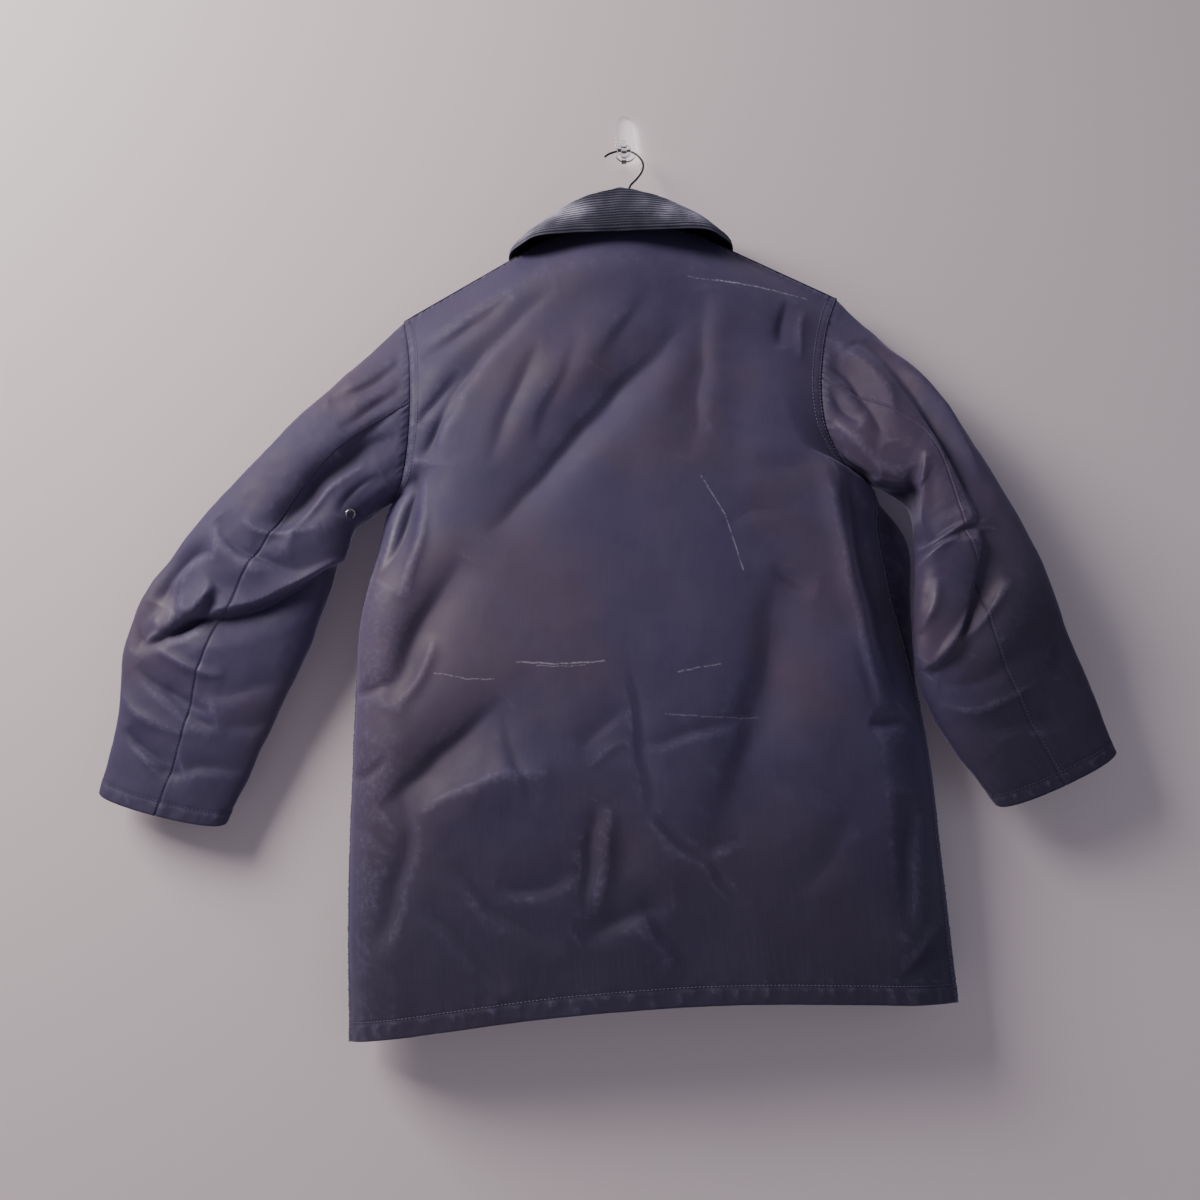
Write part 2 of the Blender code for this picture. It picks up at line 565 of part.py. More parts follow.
def pulled_in(points, normals, sides, underarms):
    """Move the edges named in sides into the panel by half a seam gap. underarms
    gives the place of the underarm corner on a side; there the panel keeps clear
    of three others, and on the body's side seams the corner also moves down."""
    points = points.copy()
    source = points.copy()
    steps = {
        "top": (np.s_[0, :], np.s_[1, :]),
        "bottom": (np.s_[-1, :], np.s_[-2, :]),
        "start": (np.s_[:, 0], np.s_[:, 1]),
        "end": (np.s_[:, -1], np.s_[:, -2]),
    }
    for side in sides:
        edge, inner = steps[side]
        inward = unit(source[inner] - source[edge])
        at = underarms.get(side)
        if side in ("start", "end") and at is not None:
            below = unit(source[edge][at + 1] - source[edge][at])
            inward[at] = unit(inward[at] + below)
        line = unit(np.gradient(source[edge], axis=0))
        square = inward.copy()
        for direction in (line, normals[edge]):
            square -= direction * np.sum(square * direction, axis=-1, keepdims=True)
        openness = np.maximum(np.linalg.norm(square, axis=-1, keepdims=True), 0.25)
        step = inward * SEAM_GAP / 2 / openness
        if at is not None:
            step[at] *= UNDERARM_EASE
        points[edge] += step
    return points


def wall_mesh(name, outer, normals, depth, seams, underarms):
    """Closed wall of cloth between a grid of outer points and its inner offset."""
    inner = outer - normals * depth[..., None]
    outer_points = pulled_in(outer, normals, seams, underarms)
    moved = outer_points - outer
    inner_points = inner + moved
    rows, columns = outer.shape[:2]
    mesh = bpy.data.meshes.new(name)
    bm = bmesh.new()
    front = [[bm.verts.new(outer_points[r, c]) for c in range(columns)] for r in range(rows)]
    back = [[bm.verts.new(inner_points[r, c]) for c in range(columns)] for r in range(rows)]
    for r in range(rows - 1):
        for c in range(columns - 1):
            for low, high in (((r, c), (r, c + 1)), ((r + 1, c + 1), (r + 1, c))):
                far = (r + 1, c + 1) if low == (r, c) else (r, c)
                bm.faces.new([front[i][j] for i, j in (low, high, far)])
                bm.faces.new([back[i][j] for i, j in (low, far, high)])
    rim = [(0, c) for c in range(columns)]
    rim += [(r, columns - 1) for r in range(1, rows)]
    rim += [(rows - 1, c) for c in range(columns - 2, -1, -1)]
    rim += [(r, 0) for r in range(rows - 2, 0, -1)]
    for first, second in zip(rim, rim[1:] + rim[:1]):
        low, high = sorted((first, second), key=lambda spot: tuple(outer[spot][::-1]))
        bm.faces.new((front[low[0]][low[1]], front[high[0]][high[1]], back[low[0]][low[1]]))
        bm.faces.new((front[high[0]][high[1]], back[high[0]][high[1]], back[low[0]][low[1]]))
    bmesh.ops.recalc_face_normals(bm, faces=bm.faces)
    if bm.calc_volume(signed=True) < 0:
        bmesh.ops.reverse_faces(bm, faces=bm.faces)
    bm.to_mesh(mesh)
    bm.free()
    return mesh


def make_shell():
    """Back, fronts and sleeves."""
    panels = shell_panels()
    normals, depths = shared_walls(panels)
    seams = {
        "back": ("top", "start", "end"),
        "front_left": ("top", "end"),
        "front_right": ("top", "start"),
    }
    underarm_column = {
        "sleeve_left_under": RING_SIDES // 2 - BACK_ARM_SEAM,
        "sleeve_right_under": FRONT_ARM_SEAM - RING_SIDES // 2,
    }
    for name, points in panels.items():
        edges = seams.get(name, ("top", "start", "end"))
        if name in seams:
            underarms = {side: ROWS_ARMHOLE for side in edges[1:]}
        else:
            underarms = {"top": underarm_column[name]} if name in underarm_column else {}
        mesh = wall_mesh(name, points, normals[name], depths[name], edges, underarms)
        add_object(name, mesh, "waxed_cotton")
    return panels


def make_collar():
    """Stand and fall of the turned-down collar, in one sheet."""
    turns, steps = np.meshgrid(collar_turns(), runs((0, 0), (STAND_SHARE, 3), (0.44, 1), (1, 5)))
    points = collar_point(turns, steps)
    normals = grid_normals(points)
    points = points + normals * COLLAR_CLOTH / 2
    mesh = wall_mesh("collar", points, normals, COLLAR_CLOTH * np.ones(points.shape[:2]), (), {})
    add_object("collar", mesh, "corduroy")


# ---- Trims -------------------------------------------------------------------
def on_panel(points, row, column):
    """Middle and outward normal of the first facet in a cell of a panel."""
    a, b, c = points[row, column], points[row, column + 1], points[row + 1, column + 1]
    normal = np.cross(c - a, b - a)
    return Vector((a + b + c) / 3), Vector(normal).normalized()


def turned_mesh(name, profile, place, axis, ring=False, sides=14):
    """Closed turned piece: the profile's (radius, height) points round an axis.
    A ring joins its last circle to its first one and leaves a hole."""
    turn = Vector((0, 0, 1)).rotation_difference(axis)
    bm = bmesh.new()
    circles = []
    for radius, height in profile:
        circle = []
        for k in range(sides):
            angle = 2 * math.pi * k / sides
            spot = Vector((radius * math.cos(angle), radius * math.sin(angle), height))
            circle.append(bm.verts.new(place + turn @ spot))
        circles.append(circle)
    pairs = list(zip(circles, circles[1:]))
    if ring:
        pairs.append((circles[-1], circles[0]))
    else:
        bm.faces.new(circles[0])
        bm.faces.new(circles[-1])
    for low, high in pairs:
        for k in range(sides):
            bm.faces.new((low[k], low[(k + 1) % sides], high[(k + 1) % sides], high[k]))
    bmesh.ops.recalc_face_normals(bm, faces=bm.faces)
    if bm.calc_volume(signed=True) < 0:
        bmesh.ops.reverse_faces(bm, faces=bm.faces)
    mesh = bpy.data.meshes.new(name)
    bm.to_mesh(mesh)
    bm.free()
    mesh.shade_smooth()
    return mesh


def make_studs(panel):
    """Domed caps of the press studs, on the lap of the left front."""
    profile = (
        (STUD_RADIUS, 0.0),
        (STUD_RADIUS, STUD_HEIGHT * 0.45),
        (STUD_RADIUS * 0.80, STUD_HEIGHT * 0.85),
        (STUD_RADIUS * 0.45, STUD_HEIGHT),
    )
    for number, row in enumerate(STUD_ROWS, 1):
        spot, normal = on_panel(panel, row, STUD_COLUMN)
        name = f"stud_{number}"
        add_object(name, turned_mesh(name, profile, spot + normal * SEAM_GAP, normal), "stud_metal")


def make_eyelet(panel):
    """Vent eyelet on the underarm side of the left sleeve."""
    spot, normal = on_panel(panel, EYELET_ROW, EYELET_COLUMN)
    inner = EYELET_RADIUS - EYELET_RIM
    profile = (
        (EYELET_RADIUS, 0.0),
        (EYELET_RADIUS - EYELET_EDGE, EYELET_HEIGHT),
        (inner + EYELET_EDGE, EYELET_HEIGHT),
        (inner, 0.0),
    )
    mesh = turned_mesh("eyelet_left", profile, spot + normal * SEAM_GAP * 2, normal, ring=True)
    add_object("eyelet_left", mesh, "stud_metal")


# ---- Hanger and wall hook ----------------------------------------------------
def shoulder_height(x):
    """Height of the shoulder line over the place x."""
    left = (x - LEFT_EDGE[0].x) / (CENTRE_X - NECK_REACH - LEFT_EDGE[0].x)
    right = (RIGHT_EDGE[0].x - x) / (RIGHT_EDGE[0].x - CENTRE_X - NECK_REACH)
    if x < CENTRE_X:
        return LEFT_EDGE[0].z + (NECK_POINT_Z - LEFT_EDGE[0].z) * left
    return RIGHT_EDGE[0].z + (NECK_POINT_Z - RIGHT_EDGE[0].z) * right


def rounded_path(points, radii, pieces=5):
    """Polyline through the points with each inner corner turned on its radius."""
    path = [Vector(points[0])]
    for before, corner, after, radius in zip(points, points[1:], points[2:], radii):
        before, corner, after = Vector(before), Vector(corner), Vector(after)
        to_before = (before - corner).normalized()
        to_after = (after - corner).normalized()
        for k in range(pieces + 1):
            f = k / pieces
            start, end = corner + to_before * radius, corner + to_after * radius
            path.append(start * (1 - f) ** 2 + corner * 2 * f * (1 - f) + end * f * f)
    path.append(Vector(points[-1]))
    return path


def hanger_path():
    """The one wire: hook, neck, left arm, bottom bar, right arm and its twist."""
    arm_left = HANGER_X - ARM_REACH
    arm_right = HANGER_X + ARM_REACH
    neck_x = HANGER_X + NECK_OFFSET
    apex_z = shoulder_height(neck_x) - WIRE_DROP
    left_z = shoulder_height(arm_left) - WIRE_DROP
    right_z = shoulder_height(arm_right) - WIRE_DROP
    bar_z = min(left_z, right_z) - BAR_DROP
    knots = np.linspace(0, 1, len(WIRE_HOOK))
    fine = np.linspace(0, 1, 34)
    curve = np.stack([spline(knots, [p[k] for p in WIRE_HOOK], fine) for k in range(3)], axis=-1)
    behind = HANGER_Y - WIRE - TWIST_GAP
    legs = (
        (neck_x, HANGER_Y, apex_z + NECK_RISE),
        (neck_x, HANGER_Y, apex_z),
        (arm_left, HANGER_Y, left_z),
        (arm_left - ARM_BEND, HANGER_Y, bar_z),
        (arm_right + ARM_BEND, HANGER_Y, bar_z),
        (arm_right, HANGER_Y, right_z),
        (neck_x + TWIST_STEP, behind, apex_z - TWIST_STEP / 2),
        (neck_x + TWIST_STEP / 2, behind, apex_z + TWIST_RISE),
    )
    return [Vector(p) for p in curve] + rounded_path(legs, WIRE_RADII)


def make_hanger():
    """Bent wire hanger, as a tube along its path."""
    path = hanger_path()
    curve = bpy.data.curves.new("hanger", "CURVE")
    curve.dimensions = "3D"
    curve.bevel_depth = WIRE / 2
    curve.bevel_resolution = 2
    curve.use_fill_caps = True
    line = curve.splines.new("POLY")
    line.points.add(len(path) - 1)
    for point, spot in zip(line.points, path):
        point.co = (*spot, 1.0)
    item = bpy.data.objects.new("hanger", curve)
    bpy.context.scene.collection.objects.link(item)
    curve.materials.append(finish("hanger_wire"))


def prism(name, outline, depth_axis, low, high):
    """Closed prism of an outline of (a, b) pairs, between two depths on an axis."""
    bm = bmesh.new()
    layers = []
    for depth in (low, high):
        if depth_axis == "y":
            layers.append([bm.verts.new((a, depth, b)) for a, b in outline])
        else:
            layers.append([bm.verts.new((depth, a, b)) for a, b in outline])
    bm.faces.new(layers[0])
    bm.faces.new(layers[1])
    count = len(outline)
    for k in range(count):
        n = (k + 1) % count
        bm.faces.new((layers[0][k], layers[0][n], layers[1][n], layers[1][k]))
    bmesh.ops.recalc_face_normals(bm, faces=bm.faces)
    mesh = bpy.data.meshes.new(name)
    bm.to_mesh(mesh)
    bm.free()
    return mesh


def make_wall_hook():
    """Clear plate with a turned-up peg, and a round lip on the peg's end."""
    radius = PLATE_WIDTH / 2
    outline = []
    for k in range(13):
        angle = math.pi * k / 12
        outline.append((PLATE_TOP_SHARE * radius * math.cos(angle), PLATE_TOP - radius * 1.3 * (1 - math.sin(angle))))
    for k in range(13):
        angle = math.pi * (1 + k / 12)
        outline.append((radius * math.cos(angle), PLATE_BOTTOM + radius * 0.8 * (1 + math.sin(angle))))
    plate = add_object("wall_hook", prism("wall_hook", outline, "y", -PLATE_THICK, 0.0), "clear_plastic")
    peg_outline = (
        (-0.0020, PEG_TOP_Z), (-0.0185, PEG_TOP_Z), (-0.0205, PEG_TOP_Z + 0.0012),
        (-0.0215, PEG_TOP_Z + 0.0045), (-0.0220, PEG_TOP_Z + 0.0095), (-0.0235, PEG_TOP_Z + 0.0105),
        (-0.0252, PEG_TOP_Z + 0.0095), (-0.0258, PEG_TOP_Z + 0.0030), (-0.0245, PEG_TOP_Z - 0.0030),
        (-0.0205, PEG_TOP_Z - 0.0060), (-0.0020, PEG_TOP_Z - 0.0085),
    )
    lip_outline = []
    for k in range(24):
        angle = math.pi * k / 12
        lip_outline.append((LIP_X + LIP_RADIUS * math.cos(angle), LIP_Z + LIP_RADIUS * math.sin(angle)))
    shapes = {
        "hook_peg": prism("hook_peg", peg_outline, "x", PEG_LEFT, PEG_RIGHT),
        "hook_lip": prism("hook_lip", lip_outline, "y", LIP_FRONT, LIP_BACK),
    }
    for name, mesh in shapes.items():
        shape = bpy.data.objects.new(name, mesh)
        bpy.context.scene.collection.objects.link(shape)
        shape.hide_render = True
        shape.display_type = "WIRE"
        union = plate.modifiers.new(name, "BOOLEAN")
        union.operation = "UNION"
        union.solver = "EXACT"
        union.object = shape


def main():
    for item in list(bpy.data.objects):
        bpy.data.objects.remove(item, do_unlink=True)
    panels = make_shell()
    make_collar()
    make_studs(panels["front_left"])
    make_eyelet(panels["sleeve_left_under"])
    make_hanger()
    make_wall_hook()


main()
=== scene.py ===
"""Waxed cotton jacket on a wire hanger and a clear wall hook: the pieces that show.

The jacket hangs with its front to the wall and its back to the room.
X runs across it, +Y points into the wall and +Z is up, in metres. "Left" is the
low X side, which is also the wearer's left. The cloth is worked out from the same
sections as the solids of the frame, on a much finer grid, and then creased.
"""
import math
from collections import namedtuple

import bmesh
import bpy
import numpy as np
from mathutils import Matrix, Vector


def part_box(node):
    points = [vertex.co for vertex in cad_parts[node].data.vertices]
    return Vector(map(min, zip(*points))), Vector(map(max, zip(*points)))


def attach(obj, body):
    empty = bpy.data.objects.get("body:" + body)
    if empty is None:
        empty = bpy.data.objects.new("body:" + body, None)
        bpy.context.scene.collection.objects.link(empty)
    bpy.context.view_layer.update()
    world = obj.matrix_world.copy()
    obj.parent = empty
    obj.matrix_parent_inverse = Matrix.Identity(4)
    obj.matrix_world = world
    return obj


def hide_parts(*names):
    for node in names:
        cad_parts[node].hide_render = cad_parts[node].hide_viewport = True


bl_info = {
    "name": "Waxed Cotton Jacket",
    "version": (1, 0, 0),
    "blender": (4, 5, 0),
    "location": "3D View > Sidebar > Jacket",
    "description": "Builds a waxed cotton jacket, hung on a wire hanger and a clear wall hook",
    "category": "Add Mesh",
}

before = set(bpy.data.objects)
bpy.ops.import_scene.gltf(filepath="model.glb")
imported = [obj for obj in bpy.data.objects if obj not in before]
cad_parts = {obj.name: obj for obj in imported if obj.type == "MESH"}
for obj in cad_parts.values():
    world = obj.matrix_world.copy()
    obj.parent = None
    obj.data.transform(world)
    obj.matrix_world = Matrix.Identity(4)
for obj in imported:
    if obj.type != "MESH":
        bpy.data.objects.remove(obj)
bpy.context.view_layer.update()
BODY = "root"

# ---- Sizes shared with the solids, in metres -----------------------------------
CENTRE_X = -0.012         # centre back line
ARMHOLE = 0.27            # level of the underarm on the side edges
NECK_LEFT = 0.330         # where the neckline meets the shoulder seams
NECK_RIGHT = 0.684
NECK_POINT_Z = -0.153
BACK_NECK_Z = -0.150
FRONT_NECK_Z = -0.226
BACK_NECK_BULGE = 0.033
FRONT_NECK_BULGE = 0.017
NECK_DEPTH = 0.11         # share of the body down which the neckline's shape fades out
MIDDLE = (NECK_LEFT + NECK_RIGHT) / 2
NECK_HALF = (NECK_RIGHT - NECK_LEFT) / 2
COLLAR_END = 0.070
LAP_START = -0.070        # the left front starts to rise over the right one
LAP_RIGHT = -0.030        # the right front ends here, underneath
LAP_LEFT = 0.055          # the left front ends here, on top
LAP_LIFT = 0.0027
HEM_RISE = 0.022          # the hem's middle hangs this much higher than its corners
FRONT_HEM_DROP = 0.010
CUFF_LIFT = 0.010
WIRE = 0.0025
WIRE_DROP = 0.0120
HANGER_X = -0.003
HANGER_Y = -0.0475
ARM_REACH = 0.198
BAR_DROP = 0.026
NECK_REACH = 0.088        # the shoulder seams' inner ends, from the centre line
ARMHOLE_FADE = 0.24
RING_SIDES = 16
BACK_ARM_SEAM = 4
FRONT_ARM_SEAM = 10
FLANK_LEFT = 0.11
FLANK_RIGHT = 0.10
LEFT_FLANK_TURN = 2.2     # how suddenly the back turns to the side
RIGHT_FLANK_TURN = 1.6
STAND_LIFT = 0.0019
STAND_SHARE = 0.36
ROLL_WIDTH = 0.0050
FALL_CROWN = 0.0040

# ---- Sections of the solids ------------------------------------------------------
Edge = namedtuple("Edge", "level x z back_y front_y roll_back roll_front")
LEFT_EDGE = (
    Edge(0.000, -0.265, -0.246, -0.045, -0.045, 0.000, 0.000),
    Edge(0.055, -0.257, -0.290, -0.066, -0.028, 0.000, 0.000),
    Edge(0.110, -0.254, -0.335, -0.077, -0.022, 0.000, 0.000),
    Edge(0.165, -0.255, -0.380, -0.080, -0.020, 0.000, 0.000),
    Edge(0.215, -0.260, -0.420, -0.075, -0.021, 0.000, 0.000),
    Edge(0.247, -0.267, -0.445, -0.067, -0.024, 0.000, 0.000),
    Edge(0.270, -0.279, -0.460, -0.044, -0.044, 0.002, 0.000),
    Edge(0.345, -0.299, -0.522, -0.038, -0.038, 0.010, 0.000),
    Edge(0.430, -0.318, -0.592, -0.033, -0.033, 0.012, 0.002),
    Edge(0.510, -0.323, -0.662, -0.032, -0.032, 0.012, 0.003),
    Edge(0.630, -0.328, -0.757, -0.030, -0.030, 0.012, 0.003),
    Edge(0.800, -0.333, -0.891, -0.030, -0.030, 0.011, 0.003),
    Edge(1.000, -0.333, -1.036, -0.028, -0.028, 0.008, 0.002),
)
RIGHT_EDGE = (
    Edge(0.000, 0.234, -0.239, -0.045, -0.045, 0.000, 0.000),
    Edge(0.055, 0.216, -0.283, -0.068, -0.028, 0.000, 0.000),
    Edge(0.110, 0.205, -0.327, -0.082, -0.022, 0.000, 0.000),
    Edge(0.165, 0.200, -0.372, -0.087, -0.020, 0.000, 0.000),
    Edge(0.215, 0.206, -0.415, -0.083, -0.021, 0.000, 0.000),
    Edge(0.247, 0.224, -0.446, -0.072, -0.023, 0.000, 0.000),
    Edge(0.270, 0.250, -0.458, -0.044, -0.044, 0.000, 0.002),
    Edge(0.345, 0.260, -0.520, -0.044, -0.044, 0.000, 0.056),
    Edge(0.430, 0.269, -0.592, -0.044, -0.044, 0.000, 0.050),
    Edge(0.510, 0.280, -0.650, -0.044, -0.044, 0.000, 0.036),
    Edge(0.630, 0.294, -0.745, -0.045, -0.045, 0.001, 0.016),
    Edge(0.800, 0.300, -0.880, -0.044, -0.044, 0.002, 0.016),
    Edge(1.000, 0.306, -1.019, -0.038, -0.038, 0.003, 0.010),
)
Depth = namedtuple("Depth", "level back_left back_mid back_right front_side front_mid")
DEPTHS = (
    Depth(0.000, -0.045, -0.045, -0.045, -0.045, -0.045),
    Depth(0.055, -0.071, -0.088, -0.073, -0.027, -0.024),
    Depth(0.110, -0.083, -0.096, -0.086, -0.020, -0.018),
    Depth(0.165, -0.089, -0.101, -0.094, -0.018, -0.016),
    Depth(0.270, -0.092, -0.108, -0.102, -0.017, -0.015),
    Depth(0.430, -0.090, -0.113, -0.104, -0.016, -0.014),
    Depth(0.630, -0.086, -0.112, -0.096, -0.016, -0.014),
    Depth(0.800, -0.080, -0.106, -0.086, -0.015, -0.013),
    Depth(1.000, -0.070, -0.098, -0.076, -0.014, -0.013),
)
Ring = namedtuple("Ring", "along outer_x outer_z inner_x inner_z mid_y depth")
LEFT_SLEEVE = (
    Ring(0.00, -0.265, -0.246, -0.279, -0.460, -0.048, 0.058),
    Ring(0.14, -0.332, -0.312, -0.313, -0.482, -0.052, 0.078),
    Ring(0.28, -0.400, -0.378, -0.336, -0.517, -0.051, 0.078),
    Ring(0.42, -0.461, -0.440, -0.349, -0.556, -0.048, 0.072),
    Ring(0.56, -0.521, -0.505, -0.364, -0.596, -0.044, 0.062),
    Ring(0.68, -0.561, -0.562, -0.381, -0.634, -0.040, 0.054),
    Ring(0.78, -0.579, -0.618, -0.402, -0.676, -0.037, 0.046),
    Ring(0.88, -0.584, -0.690, -0.432, -0.738, -0.033, 0.038),
    Ring(1.00, -0.603, -0.766, -0.465, -0.806, -0.030, 0.032),
)
RIGHT_SLEEVE = (
    Ring(0.00, 0.234, -0.239, 0.250, -0.458, -0.050, 0.060),
    Ring(0.14, 0.283, -0.304, 0.282, -0.474, -0.060, 0.078),
    Ring(0.28, 0.325, -0.364, 0.294, -0.512, -0.070, 0.078),
    Ring(0.42, 0.362, -0.430, 0.291, -0.558, -0.078, 0.072),
    Ring(0.56, 0.396, -0.500, 0.282, -0.608, -0.082, 0.064),
    Ring(0.68, 0.424, -0.565, 0.281, -0.655, -0.079, 0.056),
    Ring(0.78, 0.445, -0.628, 0.288, -0.698, -0.070, 0.048),
    Ring(0.88, 0.468, -0.692, 0.313, -0.750, -0.060, 0.040),
    Ring(1.00, 0.493, -0.765, 0.361, -0.818, -0.048, 0.034),
)
Station = namedtuple("Station", "turn roll_x roll_y roll_z edge_x edge_y edge_z")
COLLAR = (
    Station(0.00, 0.002, -0.0780, -0.1120, 0.000, -0.1010, -0.1720),
    Station(0.18, 0.040, -0.0750, -0.1215, 0.058, -0.1000, -0.1715),
    Station(0.36, 0.074, -0.0620, -0.1350, 0.106, -0.0880, -0.1690),
    Station(0.50, 0.092, -0.0450, -0.1410, 0.127, -0.0520, -0.1660),
    Station(0.66, 0.084, -0.0260, -0.1370, 0.125, -0.0230, -0.1840),
    Station(0.84, 0.066, -0.0150, -0.1690, 0.110, -0.0090, -0.2280),
    Station(1.00, 0.050, -0.0110, -0.2030, 0.090, -0.0075, -0.2680),
)
Fold = namedtuple("Fold", "x0 z0 x1 z1 x2 z2 width depth")
BACK_FOLDS = (
    Fold(0.060, -0.260, -0.040, -0.360, -0.150, -0.490, 0.030, -0.007),
    Fold(0.030, -0.240, -0.070, -0.330, -0.180, -0.430, 0.030, 0.004),
    Fold(-0.235, -0.420, -0.255, -0.480, -0.285, -0.550, 0.022, -0.009),
    Fold(-0.190, -0.540, -0.250, -0.630, -0.285, -0.690, 0.030, -0.006),
    Fold(-0.140, -0.690, -0.220, -0.750, -0.290, -0.800, 0.032, -0.007),
    Fold(-0.095, -0.770, -0.190, -0.790, -0.240, -0.815, 0.028, 0.005),
    Fold(-0.040, -0.810, -0.042, -0.860, -0.044, -0.910, 0.024, -0.006),
    Fold(0.145, -0.570, 0.125, -0.710, 0.090, -0.830, 0.045, -0.006),
    Fold(-0.010, -0.880, 0.040, -0.930, 0.070, -0.975, 0.036, -0.005),
    Fold(0.115, -0.270, 0.108, -0.360, 0.100, -0.440, 0.030, -0.005),
)
LEFT_SLEEVE_FOLDS = (
    Fold(-0.275, -0.400, -0.350, -0.445, -0.415, -0.515, 0.022, -0.009),
    Fold(-0.490, -0.560, -0.430, -0.560, -0.350, -0.520, 0.020, -0.010),
    Fold(-0.480, -0.500, -0.420, -0.530, -0.360, -0.505, 0.022, 0.006),
    Fold(-0.560, -0.590, -0.530, -0.560, -0.500, -0.550, 0.016, -0.007),
)
RIGHT_SLEEVE_FOLDS = (
    Fold(0.265, -0.300, 0.315, -0.390, 0.370, -0.505, 0.024, -0.008),
    Fold(0.375, -0.540, 0.355, -0.610, 0.330, -0.660, 0.024, -0.009),
    Fold(0.205, -0.405, 0.245, -0.428, 0.285, -0.450, 0.018, 0.009),
    Fold(0.235, -0.390, 0.290, -0.440, 0.320, -0.455, 0.020, 0.006),
    Fold(0.420, -0.580, 0.385, -0.625, 0.330, -0.680, 0.028, 0.006),
)

